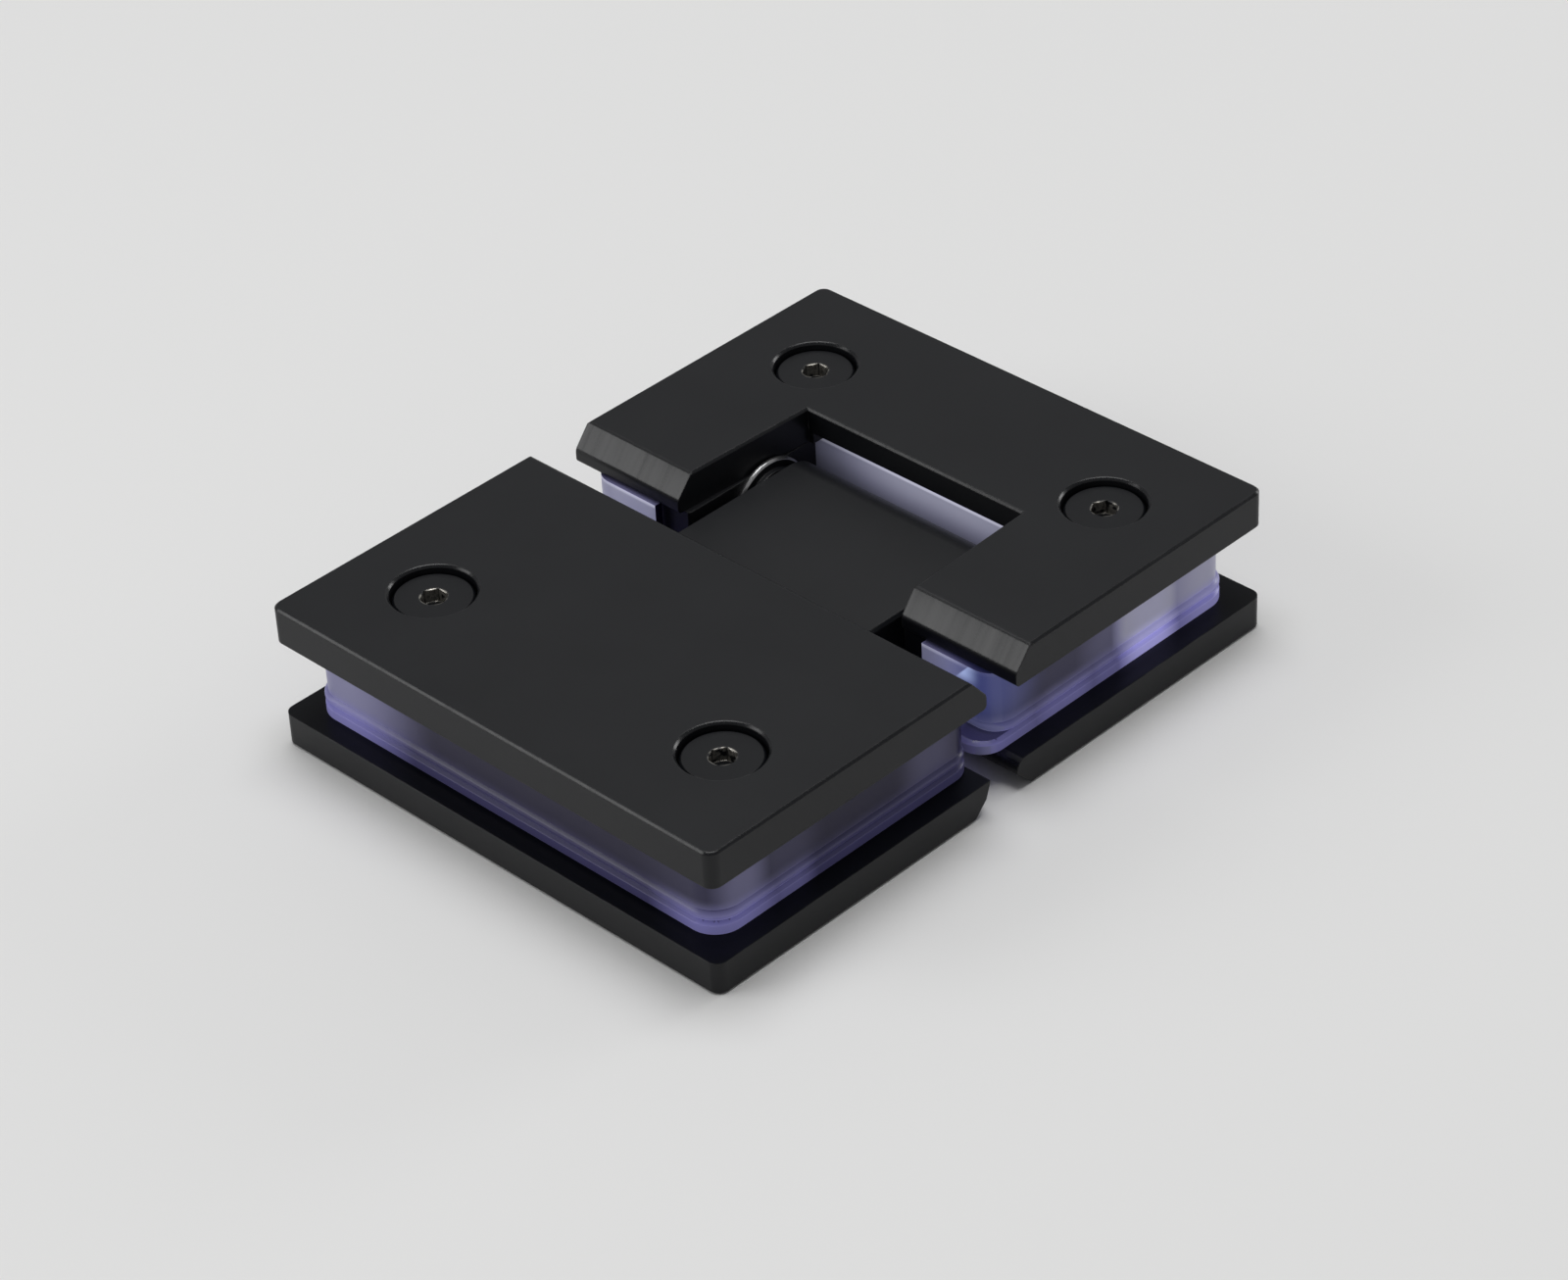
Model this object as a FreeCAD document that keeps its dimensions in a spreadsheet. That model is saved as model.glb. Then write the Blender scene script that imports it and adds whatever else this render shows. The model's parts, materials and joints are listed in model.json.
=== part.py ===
import FreeCAD, Part
import math
import os
import re

import Sketcher

os.makedirs("parts", exist_ok=True)
doc = FreeCAD.newDocument("glass_door_hinge")

# Driving sizes in millimetres. X runs across the hinge, Y along its pivot axis and Z out of its
# front face. The origin is the middle of the back face.
SIZES = {
    # Leaves
    "leaf_length": 90.0,
    "half_span": 58.0,
    "edge_gap": 12.5,
    "front_plate_thickness": 6.0,
    "back_plate_thickness": 5.5,
    "glass_gap": 13.0,
    "corner_radius": 1.8,
    "edge_chamfer": 0.35,
    # Hinge-side edges of the front plates
    "bevel_run": 3.1,
    "bevel_drop": 3.7,
    "nose_radius": 1.5,
    "lip_radius": 0.7,
    # Hinge-side edges of the back plates
    "tip_reach": 3.55,
    "tip_knee_reach": 2.6,
    "tip_knee_rise": 2.7,
    "back_nose_reach": 3.25,
    "back_nose_rise": 3.2,
    "back_nose_radius": 1.9,
    # Pivot, and the notch that the swinging leaf has round it
    "pivot_offset": 21.0,
    "pin_radius": 4.5,
    "running_clearance": 0.05,
    "bore_clearance": 0.3,
    "flat_depth": 0.85,
    "flat_margin": 1.1,
    "swing_gap": 0.3,
    "notch_flare": 1.2,
    "relief_run": 2.3,
    "relief_depth": 1.9,
    "relief_inset": 1.0,
    # Pivot block
    "block_length": 40.0,
    "block_root_reach": 22.0,
    "block_nose_reach": 9.0,
    "block_nose_radius": 6.4,
    "block_chamfer": 0.5,
    # Bushes and thrust washers
    "bush_length": 5.5,
    "bush_wall": 0.95,
    "washer_radius": 7.7,
    "washer_flange": 0.8,
    "washer_hub_radius": 6.2,
    "washer_thickness": 1.65,
    "end_play": 0.15,
    # Spring plungers
    "plunger_spacing": 16.0,
    "plunger_radius": 3.5,
    "plunger_length": 12.0,
    "plunger_nose": 0.8,
    "spigot_radius": 1.9,
    "spigot_length": 2.0,
    "coil_radius": 2.65,
    "coil_turns": 4.0,
    "wire_width": 1.2,
    "wire_depth": 0.9,
    "adjuster_radius": 4.0,
    "adjuster_length": 8.0,
    "adjuster_inset": 1.0,
    "adjuster_socket": 2.3,
    "adjuster_socket_depth": 3.0,
    # Lugs that hold the pin
    "lug_setback": 1.2,
    "lug_wall": 1.3,
    "lug_end_wall": 0.2,
    "lug_chamfer": 0.4,
    "set_screw_radius": 1.5,
    # Countersunk screws in the block and the lugs
    "inner_screw_radius": 2.0,
    "inner_head_radius": 3.5,
    "inner_head_sink": 0.1,
    "inner_socket": 1.25,
    "inner_socket_depth": 1.4,
    "block_screw_inset": 4.5,
    "block_screw_spacing": 9.5,
    # Clamp screws and their bosses
    "screw_offset": 40.0,
    "screw_end_distance": 15.5,
    "screw_radius": 3.0,
    "screw_head_radius": 6.1,
    "screw_head_height": 3.2,
    "screw_recess": 1.0,
    "screw_socket": 1.9,
    "screw_socket_depth": 2.2,
    "screw_socket_chamfer": 0.12,
    "head_clearance": 0.4,
    "hole_clearance": 0.3,
    "boss_radius": 5.0,
    "boss_height": 9.0,
    "blind_wall": 1.5,
    "tip_clearance": 0.7,
    "thread_clearance": 0.05,
    # Gaskets
    "gasket_inset": 3.2,
    "gasket_step": 0.4,
    "gasket_rim": 3.5,
    "gasket_corner_radius": 4.7,
    "gasket_near_radius": 4.0,
    "gasket_edge_chamfer": 0.7,
    "back_gasket_thickness": 3.5,
    "middle_gasket_thickness": 2.4,
    "gasket_reach_fixed": 3.95,
    "gasket_reach_swing": 3.75,
    "back_gasket_lip": 3.0,
    "gasket_setback": 5.5,
    "gasket_wall_setback": 2.0,
    "gasket_clearance": 0.3,
}

# Places that follow from the sizes.
PLACES = {
    "edge_x": "(edge_gap / 2)",
    "half_leaf": "(leaf_length / 2)",
    "front_z": "(back_plate_thickness + glass_gap)",
    "top_z": "(back_plate_thickness + glass_gap + front_plate_thickness)",
    "pivot_z": "(back_plate_thickness + glass_gap / 2)",
    "half_block": "(block_length / 2)",
    "half_notch": "(block_length / 2 + washer_thickness + end_play)",
    "notch_x": "(pivot_offset + block_nose_reach + swing_gap)",
    "bush_radius": "(pin_radius + running_clearance + bush_wall)",
    "plunger_y": "(plunger_spacing / 2)",
    "tip_x": "(pivot_offset - pin_radius - running_clearance)",
    "plunger_back_x": "(tip_x - plunger_length)",
    "adjuster_x": "(adjuster_inset - block_root_reach)",
    "adjuster_end_x": "(adjuster_x + adjuster_length)",
    "lug_near_x": "(edge_x - bevel_run + lug_setback)",
    "lug_far_x": "(notch_x + gasket_wall_setback - gasket_clearance)",
    "lug_end_y": "(half_leaf - gasket_inset - gasket_rim)",
    "lug_screw_y": "(lug_end_y - lug_end_wall - inner_head_radius - hole_clearance)",
    "bore_end_y": "(lug_screw_y - inner_screw_radius - hole_clearance - lug_wall)",
    "half_pin": "(bore_end_y - tip_clearance)",
    "set_screw_y": "((half_notch + half_pin) / 2)",
    "screw_y": "(half_leaf - screw_end_distance)",
    "head_z": "(top_z - screw_recess - screw_head_height)",
    "middle_gasket_z": "(back_plate_thickness + back_gasket_thickness)",
    "front_gasket_z": "(middle_gasket_z + middle_gasket_thickness)",
}

# Notch of the swinging leaf's plates, a little wider at the hinge edge than at its back wall.
NOTCH = [
    ("0", "-(half_notch + notch_flare)"), ("notch_x", "-half_notch"),
    ("notch_x", "half_notch"), ("0", "half_notch + notch_flare"),
]

WORD = re.compile(r"[a-z][a-z_]*")
NEAR = 1e-3
RUNS_PER_TURN = 12
PIN_HOLE = ("0", "0", "pin_radius + running_clearance")

sheet = doc.addObject("Spreadsheet::Sheet", "sizes")
for row, (alias, size) in enumerate(SIZES.items(), start=1):
    sheet.set(f"A{row}", str(size))
    sheet.setAlias(f"A{row}", alias)
doc.recompute()


def bind(expression):
    """Point each size or place named in an expression at the sheet."""
    def point(match):
        word = match.group(0)
        if word in PLACES:
            return bind(PLACES[word])
        if word in SIZES:
            return f"sizes.{word}"
        return word
    return WORD.sub(point, expression)


def value(expression):
    """Present value of an expression of sizes."""
    return float(sheet.evalExpression(bind(expression)))


def make_body(label, at_x="0", at_y="0", at_z="0"):
    """Empty body placed in the hinge's frame."""
    body = doc.addObject("PartDesign::Body", label)
    body.Label = label
    body.AllowCompound = True
    for axis, place in zip("xyz", (at_x, at_y, at_z)):
        body.setExpression(f"Placement.Base.{axis}", bind(place))
    return body


def make_sketch(body, name, plane, start):
    """Sketch on one of the body's own planes, moved along that plane's axis."""
    sketch = body.newObject("Sketcher::SketchObject", name)
    origin = next(item for item in body.Origin.OriginFeatures if item.Role == f"{plane}_Plane")
    sketch.AttachmentSupport = [(origin, "")]
    sketch.MapMode = "FlatFace"
    sign = "-" if plane == "XZ" else ""
    sketch.setExpression("AttachmentOffset.Base.z", bind(f"{sign}({start})"))
    return sketch


def tie(sketch, kind, geometry, point, expression):
    """Hold one coordinate of a sketch point at an expression."""
    number = value(expression)
    if abs(number) < NEAR:
        axis = -2 if kind == "DistanceX" else -1
        sketch.addConstraint(Sketcher.Constraint("PointOnObject", geometry, point, axis))
        return
    index = sketch.addConstraint(Sketcher.Constraint(kind, -1, 1, geometry, point, number))
    sketch.setExpression(f"Constraints[{index}]", bind(expression))


def draw_polygon(sketch, corners):
    """Closed outline of straight lines through corners given as expressions."""
    points = [FreeCAD.Vector(value(x), value(y), 0) for x, y in corners]
    first = sketch.GeometryCount
    count = len(points)
    for index in range(count):
        sketch.addGeometry(Part.LineSegment(points[index], points[(index + 1) % count]))
    for index in range(count):
        following = first + (index + 1) % count
        sketch.addConstraint(Sketcher.Constraint("Coincident", first + index, 2, following, 1))
    for index, (x, y) in enumerate(corners):
        tie(sketch, "DistanceX", first + index, 1, x)
        tie(sketch, "DistanceY", first + index, 1, y)


def draw_circle(sketch, x, y, radius):
    """Circle with its centre and radius given as expressions."""
    centre = FreeCAD.Vector(value(x), value(y), 0)
    circle = sketch.addGeometry(Part.Circle(centre, FreeCAD.Vector(0, 0, 1), value(radius)))
    tie(sketch, "DistanceX", circle, 3, x)
    tie(sketch, "DistanceY", circle, 3, y)
    index = sketch.addConstraint(Sketcher.Constraint("Radius", circle, value(radius)))
    sketch.setExpression(f"Constraints[{index}]", bind(radius))


def rectangle(x_low, x_high, y_low, y_high):
    """Corners of a rectangle."""
    return [(x_low, y_low), (x_high, y_low), (x_high, y_high), (x_low, y_high)]


def hexagon(x, y, inner_radius):
    """Corners of a hexagon whose flats stand at the inner radius."""
    tall = f"({inner_radius}) * 1.1547005"
    half = f"({inner_radius}) * 0.5773503"
    return [
        (f"{x} + {inner_radius}", f"{y} + {half}"),
        (x, f"{y} + {tall}"),
        (f"{x} - {inner_radius}", f"{y} + {half}"),
        (f"{x} - {inner_radius}", f"{y} - {half}"),
        (x, f"{y} - {tall}"),
        (f"{x} + {inner_radius}", f"{y} - {half}"),
    ]


def draw(sketch, loops):
    """Draw polygons, given as lists of corners, and circles, given as three expressions."""
    for loop in loops:
        if isinstance(loop, tuple):
            draw_circle(sketch, *loop)
        else:
            draw_polygon(sketch, loop)


def add(body, name, plane, loops, start, length):
    """Pad loops towards the plane's positive side."""
    sketch = make_sketch(body, f"{name}_sketch", plane, start)
    draw(sketch, loops)
    pad = body.newObject("PartDesign::Pad", name)
    pad.Profile = sketch
    pad.Reversed = plane == "XZ"
    pad.setExpression("Length", bind(length))
    body.Tip = pad
    doc.recompute()
    return pad


def cut(body, name, plane, loops, start, length):
    """Pocket loops towards the plane's positive side and see that it removed material."""
    before = body.Tip.Shape.Volume
    sketch = make_sketch(body, f"{name}_sketch", plane, start)
    draw(sketch, loops)
    pocket = body.newObject("PartDesign::Pocket", name)
    pocket.Profile = sketch
    pocket.Reversed = plane != "XZ"
    pocket.setExpression("Length", bind(length))
    body.Tip = pocket
    doc.recompute()
    if pocket.Shape.Volume > before - NEAR:
        raise RuntimeError(f"{body.Label}: {name} removed nothing")
    return pocket


def turn(body, name, corners):
    """Revolve an outline in the XZ plane once round the body's Z axis."""
    sketch = make_sketch(body, f"{name}_sketch", "XZ", "0")
    draw(sketch, [corners])
    revolution = body.newObject("PartDesign::Revolution", name)
    revolution.Profile = sketch
    revolution.ReferenceAxis = (sketch, ["V_Axis"])
    revolution.Angle = 360
    body.Tip = revolution
    doc.recompute()
    return revolution


def lies(edge, x=None, y=None, z=None):
    """Whether a whole edge lies at the given coordinates."""
    box = edge.BoundBox
    spans = ((x, box.XMin, box.XMax), (y, box.YMin, box.YMax), (z, box.ZMin, box.ZMax))
    for place, low, high in spans:
        if place is None:
            continue
        if abs(low - place) > NEAR or abs(high - place) > NEAR:
            return False
    return True


def circles(edge, radius):
    """Whether an edge is part of a circle of the given radius."""
    return edge.Curve.TypeId == "Part::GeomCircle" and abs(edge.Curve.Radius - radius) < NEAR


def dress(body, kind, name, test, size):
    """Fillet or chamfer the edges of the body's shape that pass a test."""
    base = body.Tip
    names = [f"Edge{number}" for number, edge in enumerate(base.Shape.Edges, start=1) if test(edge)]
    if not names:
        raise RuntimeError(f"{body.Label}: no edge for {name}")
    feature = body.newObject(f"PartDesign::{kind}", name)
    feature.Base = (base, names)
    feature.setExpression("Radius" if kind == "Fillet" else "Size", bind(size))
    body.Tip = feature
    doc.recompute()
    return feature


def mirror_copy(label, source):
    """Piece on the other side of the hinge's middle, made from the one on the near side."""
    copy = doc.addObject("Part::Mirroring", label)
    copy.Label = label
    copy.Source = source
    copy.Normal = FreeCAD.Vector(0, 1, 0)
    doc.recompute()
    return copy


def clamp_holes(side, radius):
    """Circles at the two clamp screws of a leaf, on the side that the sign gives."""
    return [(f"{side} * screw_offset", "screw_y", radius), (f"{side} * screw_offset", "-screw_y", radius)]


def outer_corner(side):
    """Test for the upright edges at a leaf's far corners."""
    far = side * value("half_span")
    half = value("half_leaf")
    return lambda edge: lies(edge, x=far) and (lies(edge, y=half) or lies(edge, y=-half))


def make_front_plate(label, side):
    """Visible plate of a leaf, with its bevelled hinge edge and screw pockets."""
    body = make_body(label)
    section = [
        (f"{side} * half_span", "front_z"),
        (f"{side} * half_span", "top_z"),
        (f"{side} * edge_x", "top_z"),
        (f"{side} * (edge_x - bevel_run)", "top_z - bevel_drop"),
        (f"{side} * (edge_x - bevel_run)", "front_z"),
    ]
    add(body, f"{label}_section", "XZ", [section], "-half_leaf", "leaf_length")
    nose_x = side * value("edge_x - bevel_run")
    nose_z = value("top_z - bevel_drop")
    lip_z = value("front_z")
    dress(body, "Fillet", f"{label}_nose", lambda edge: lies(edge, x=nose_x, z=nose_z), "nose_radius")
    dress(body, "Fillet", f"{label}_lip", lambda edge: lies(edge, x=nose_x, z=lip_z), "lip_radius")
    dress(body, "Fillet", f"{label}_corners", outer_corner(side), "corner_radius")
    if side > 0:
        cut(body, f"{label}_notch", "XY", [NOTCH], "front_z", "front_plate_thickness")
        relief = rectangle(
            "notch_x - 1", "notch_x + relief_run", "relief_inset - half_notch", "half_notch - relief_inset"
        )
        cut(body, f"{label}_relief", "XY", [relief], "front_z", "relief_depth")
    pockets = clamp_holes(side, "screw_head_radius + head_clearance")
    cut(body, f"{label}_pockets", "XY", pockets, "head_z", "screw_recess + screw_head_height")
    holes = clamp_holes(side, "screw_radius + hole_clearance")
    cut(body, f"{label}_holes", "XY", holes, "front_z", "front_plate_thickness")
    top = value("top_z")
    dress(body, "Chamfer", f"{label}_rim", lambda edge: lies(edge, z=top), "edge_chamfer")
    return body


def make_back_plate(label, side):
    """Plate behind the glass, with threaded bosses for the clamp screws."""
    body = make_body(label)
    section = [
        (f"{side} * half_span", "0"),
        (f"{side} * edge_x", "0"),
    ]
    if side < 0:
        section.append((f"{side} * (edge_x - tip_knee_reach)", "tip_knee_rise"))
        section.append((f"{side} * (edge_x - tip_reach)", "back_plate_thickness"))
    else:
        section.append((f"{side} * (edge_x - back_nose_reach)", "back_nose_rise"))
        section.append((f"{side} * (edge_x - back_nose_reach)", "back_plate_thickness"))
    section.append((f"{side} * half_span", "back_plate_thickness"))
    add(body, f"{label}_section", "XZ", [section], "-half_leaf", "leaf_length")
    if side > 0:
        nose_x = value("edge_x - back_nose_reach")
        nose_z = value("back_plate_thickness")
        dress(
            body, "Fillet", f"{label}_nose", lambda edge: lies(edge, x=nose_x, z=nose_z), "back_nose_radius"
        )
    dress(body, "Fillet", f"{label}_corners", outer_corner(side), "corner_radius")
    if side > 0:
        cut(body, f"{label}_notch", "XY", [NOTCH], "0", "back_plate_thickness")
    bosses = clamp_holes(side, "boss_radius")
    add(body, f"{label}_bosses", "XY", bosses, "back_plate_thickness", "boss_height")
    threads = clamp_holes(side, "screw_radius + thread_clearance")
    cut(
        body, f"{label}_threads", "XY", threads, "blind_wall",
        "back_plate_thickness + boss_height - blind_wall",
    )
    inner_radius = "inner_screw_radius + thread_clearance"
    if side < 0:
        inner = [
            ("block_screw_inset - block_root_reach", "0", inner_radius),
            ("block_screw_inset + block_screw_spacing - block_root_reach", "0", inner_radius),
        ]
    else:
        inner = [
            ("pivot_offset", "lug_screw_y", inner_radius),
            ("pivot_offset", "-lug_screw_y", inner_radius),
        ]
    cut(body, f"{label}_inner_threads", "XY", inner, "blind_wall", "back_plate_thickness - blind_wall")
    dress(body, "Chamfer", f"{label}_rim", lambda edge: lies(edge, z=0.0), "edge_chamfer")
    return body


def fixed_gasket_outline(inset, reach):
    """Gasket of the fixed leaf: a sheet open to the hinge side for the pivot block."""
    far = f"-(half_span - {inset})"
    near = f"-(edge_x - ({reach}))"
    wide = f"(half_leaf - {inset})"
    inner_x = "-(block_root_reach + gasket_clearance)"
    inner_y = "(half_block + gasket_clearance)"
    return [
        (far, f"-{wide}"), (near, f"-{wide}"), (near, f"-{inner_y}"), (inner_x, f"-{inner_y}"),
        (inner_x, inner_y), (near, inner_y), (near, wide), (far, wide),
    ]


def swing_gasket_outline(inset, reach):
    """Gasket of the swinging leaf: open round the notch, with a seat for each lug."""
    far = f"(half_span - {inset})"
    near = f"(edge_x - ({reach}))"
    wide = f"(half_leaf - {inset})"
    arm_y = "(half_notch + gasket_setback)"
    wall_x = "(notch_x + gasket_wall_setback)"
    lug_low = "(lug_near_x - gasket_clearance)"
    lug_y = "(lug_end_y + gasket_clearance)"
    upper = [
        (wall_x, lug_y), (lug_low, lug_y), (lug_low, arm_y), (near, arm_y), (near, wide), (far, wide),
    ]
    lower = [(x, f"-{y}") for x, y in reversed(upper)]
    return upper + lower


def make_gasket(label, side, base_z, thickness, inset, reach, ridged):
    """One of the three soft sheets that fill a leaf's gap."""
    body = make_body(label)
    outline = fixed_gasket_outline(inset, reach) if side < 0 else swing_gasket_outline(inset, reach)
    add(body, f"{label}_sheet", "XY", [outline], base_z, thickness)
    holes = clamp_holes(side, "boss_radius + gasket_clearance")
    cut(body, f"{label}_holes", "XY", holes, base_z, thickness)
    far = side * value(f"half_span - {inset}")
    near = side * value(f"edge_x - ({reach})")
    wide = value(f"half_leaf - {inset}")
    ends = (wide, -wide)
    corners = (("far", far, "gasket_corner_radius"), ("near", near, "gasket_near_radius"))
    for name, place, radius in corners:
        dress(
            body, "Fillet", f"{label}_{name}_corners",
            lambda edge, place=place: any(lies(edge, x=place, y=end) for end in ends), radius,
        )
    if ridged:
        levels = (value(base_z), value(f"{base_z} + {thickness}"))
        dress(
            body, "Chamfer", f"{label}_edges",
            lambda edge: any(lies(edge, y=end, z=level) for end in ends for level in levels),
            "gasket_edge_chamfer",
        )
    return body


def make_block():
    """Pivot block: clamped in the fixed leaf, it carries the bushes and the spring plungers."""
    body = make_body("pivot_block")
    section = rectangle(
        "-block_root_reach", "pivot_offset + block_nose_reach", "back_plate_thickness", "front_z"
    )
    add(body, "block_section", "XZ", [section], "-half_block", "block_length")
    nose = value("pivot_offset + block_nose_reach")
    levels = (value("back_plate_thickness"), value("front_z"))
    dress(
        body, "Fillet", "block_nose",
        lambda edge: lies(edge, x=nose) and any(lies(edge, z=level) for level in levels),
        "block_nose_radius",
    )
    half = value("half_block")
    root = -value("block_root_reach")

    def is_rim(edge):
        return (lies(edge, y=half) or lies(edge, y=-half)) and not lies(edge, x=root)

    dress(body, "Chamfer", "block_ends", is_rim, "block_chamfer")
    bore = [("pivot_offset", "pivot_z", "pin_radius + bore_clearance")]
    cut(body, "block_bore", "XZ", bore, "-half_block", "block_length")
    seats = [("pivot_offset", "pivot_z", "bush_radius")]
    cut(body, "block_seat_lower", "XZ", seats, "-half_block", "bush_length")
    cut(body, "block_seat_upper", "XZ", seats, "half_block - bush_length", "bush_length")
    runs = [
        ("plunger_y", "pivot_z", "plunger_radius + running_clearance"),
        ("-plunger_y", "pivot_z", "plunger_radius + running_clearance"),
    ]
    cut(body, "plunger_runs", "YZ", runs, "-block_root_reach", "block_root_reach + pivot_offset")
    threads = [
        ("plunger_y", "pivot_z", "adjuster_radius + thread_clearance"),
        ("-plunger_y", "pivot_z", "adjuster_radius + thread_clearance"),
    ]
    depth = "adjuster_inset + adjuster_length"
    cut(body, "adjuster_threads", "YZ", threads, "-block_root_reach", depth)
    places = (
        "block_screw_inset - block_root_reach",
        "block_screw_inset + block_screw_spacing - block_root_reach",
    )
    holes = [(place, "0", "inner_screw_radius + hole_clearance") for place in places]
    cut(body, "screw_holes", "XY", holes, "back_plate_thickness", "glass_gap")
    top = value("front_z")
    radius = value("inner_screw_radius + hole_clearance")
    dress(
        body, "Chamfer", "countersinks", lambda edge: lies(edge, z=top) and circles(edge, radius),
        "inner_head_radius - inner_screw_radius",
    )
    return body


def make_ring(label, start, thickness, outer):
    """Ring that the pivot pin runs in."""
    body = make_body(label, at_x="pivot_offset", at_z="pivot_z")
    add(body, f"{label}_ring", "XZ", [("0", "0", outer), PIN_HOLE], start, thickness)
    return body


def make_washer():
    """Thrust washer: a hub that bears on the block and a wider flange next to the lug."""
    start = "half_notch - washer_thickness"
    body = make_ring("thrust_washer_upper", start, "washer_thickness", "washer_hub_radius")
    flange = [("0", "0", "washer_radius"), PIN_HOLE]
    add(body, "washer_flange", "XZ", flange, "half_notch - washer_flange", "washer_flange")
    rim = value("washer_radius")
    face = value("half_notch - washer_flange")
    dress(
        body, "Chamfer", "washer_rim", lambda edge: circles(edge, rim) and lies(edge, y=face),
        "edge_chamfer",
    )
    return body


def make_pin():
    """Pivot pin with three flats, for the closed leaf and for each way it opens."""
    body = make_body("pivot_pin", at_x="pivot_offset", at_z="pivot_z")
    add(body, "pin_round", "XZ", [("0", "0", "pin_radius")], "-half_pin", "2 * half_pin")
    half = value("half_pin")
    dress(
        body, "Chamfer", "pin_ends", lambda edge: lies(edge, y=half) or lies(edge, y=-half), "flat_depth"
    )
    inside = "(pin_radius - flat_depth)"
    outside = "(pin_radius + 1)"
    flat_start = "-(plunger_y + plunger_radius + flat_margin)"
    flat_length = "2 * (plunger_y + plunger_radius + flat_margin)"
    flats = {
        "closed": rectangle(f"-{outside}", f"-{inside}", f"-{outside}", outside),
        "inward": rectangle(f"-{outside}", outside, inside, outside),
        "outward": rectangle(f"-{outside}", outside, f"-{outside}", f"-{inside}"),
    }
    for name, flat in flats.items():
        cut(body, f"pin_flat_{name}", "XZ", [flat], flat_start, flat_length)
    return body


def make_lug():
    """Block in an arm of the swinging leaf that holds one end of the pin."""
    body = make_body("pin_lug_upper")
    outline = rectangle("lug_near_x", "lug_far_x", "half_notch", "lug_end_y")
    add(body, "lug_outline", "XY", [outline], "back_plate_thickness", "glass_gap")
    sides = (value("lug_near_x"), value("lug_far_x"))
    ends = (value("half_notch"), value("lug_end_y"))

    def is_upright(edge):
        return any(lies(edge, x=side) for side in sides) and any(lies(edge, y=end) for end in ends)

    dress(body, "Chamfer", "lug_corners", is_upright, "lug_chamfer")
    bore = [("pivot_offset", "pivot_z", "pin_radius + thread_clearance")]
    cut(body, "lug_bore", "XZ", bore, "half_notch", "bore_end_y - half_notch")
    hole = [("pivot_offset", "lug_screw_y", "inner_screw_radius + hole_clearance")]
    cut(body, "lug_hole", "XY", hole, "back_plate_thickness", "glass_gap")
    top = value("front_z")
    radius = value("inner_screw_radius + hole_clearance")
    dress(
        body, "Chamfer", "lug_countersink", lambda edge: lies(edge, z=top) and circles(edge, radius),
        "inner_head_radius - inner_screw_radius",
    )
    thread = [("set_screw_y", "pivot_z", "set_screw_radius + thread_clearance")]
    start = "(pivot_offset + pin_radius - running_clearance)"
    cut(body, "set_screw_thread", "YZ", thread, start, f"lug_far_x - {start}")
    return body


def make_plunger():
    """Spring plunger: a round slider with a bevelled nose and a spigot for its spring."""
    body = make_body("detent_plunger_upper", at_x="plunger_back_x", at_y="plunger_y", at_z="pivot_z")
    add(body, "plunger_round", "YZ", [("0", "0", "plunger_radius")], "0", "plunger_length")
    front = value("plunger_length")
    dress(body, "Chamfer", "plunger_nose_bevel", lambda edge: lies(edge, x=front), "plunger_nose")
    add(body, "plunger_spigot", "YZ", [("0", "0", "spigot_radius")], "-spigot_length", "spigot_length")
    return body


def make_adjuster():
    """Set screw that presses a plunger's spring."""
    body = make_body("adjusting_screw_upper", at_x="adjuster_x", at_y="plunger_y", at_z="pivot_z")
    add(body, "adjuster_round", "YZ", [("0", "0", "adjuster_radius")], "0", "adjuster_length")
    socket = hexagon("0", "0", "adjuster_socket")
    cut(body, "adjuster_socket_cut", "YZ", [socket], "0", "adjuster_socket_depth")
    return body


def make_spring():
    """Compression spring between an adjusting screw and its plunger, coiled in short straight runs."""
    radius = value("coil_radius")
    length = value("plunger_back_x - adjuster_end_x - wire_width")
    runs = round(value("coil_turns") * RUNS_PER_TURN)
    points = []
    for run in range(runs + 1):
        angle = 2 * math.pi * run / RUNS_PER_TURN
        across = FreeCAD.Vector(0, radius * math.cos(angle), radius * math.sin(angle))
        points.append(across + FreeCAD.Vector(length * run / runs, 0, 0))
    wide = value("wire_width / 2")
    deep = value("wire_depth / 2")
    corners = ((-wide, -deep), (wide, -deep), (wide, deep), (-wide, deep), (-wide, -deep))
    wire = Part.makePolygon([FreeCAD.Vector(along, radius + out, 0) for along, out in corners])
    spring = doc.addObject("Part::Feature", "detent_spring_upper")
    spring.Label = "detent_spring_upper"
    spring.Shape = Part.makePolygon(points).makePipeShell([wire], True, True, 1)
    spring.setExpression("Placement.Base.x", bind("adjuster_end_x + wire_width / 2"))
    spring.setExpression("Placement.Base.y", bind("plunger_y"))
    spring.setExpression("Placement.Base.z", bind("pivot_z"))
    doc.recompute()
    return spring


def make_clamp_screws(label, side):
    """Pair of low-headed socket screws that clamp a leaf on the glass."""
    body = make_body(label, at_x=f"{side} * screw_offset", at_y="screw_y", at_z="head_z")
    profile = [
        ("0", "screw_head_height - screw_socket_chamfer"),
        ("screw_socket", "screw_head_height - screw_socket_chamfer"),
        ("screw_socket + 2 * screw_socket_chamfer", "screw_head_height"),
        ("screw_head_radius - edge_chamfer", "screw_head_height"),
        ("screw_head_radius", "screw_head_height - edge_chamfer"),
        ("screw_head_radius", "0"),
        ("screw_radius", "0"),
        ("screw_radius", "blind_wall + tip_clearance - head_z"),
        ("0", "blind_wall + tip_clearance - head_z"),
    ]
    turn(body, f"{label}_turned", profile)
    socket = hexagon("0", "0", "screw_socket")
    start = "screw_head_height - screw_socket_depth"
    cut(body, f"{label}_socket", "XY", [socket], start, "screw_socket_depth")
    return body


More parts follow.
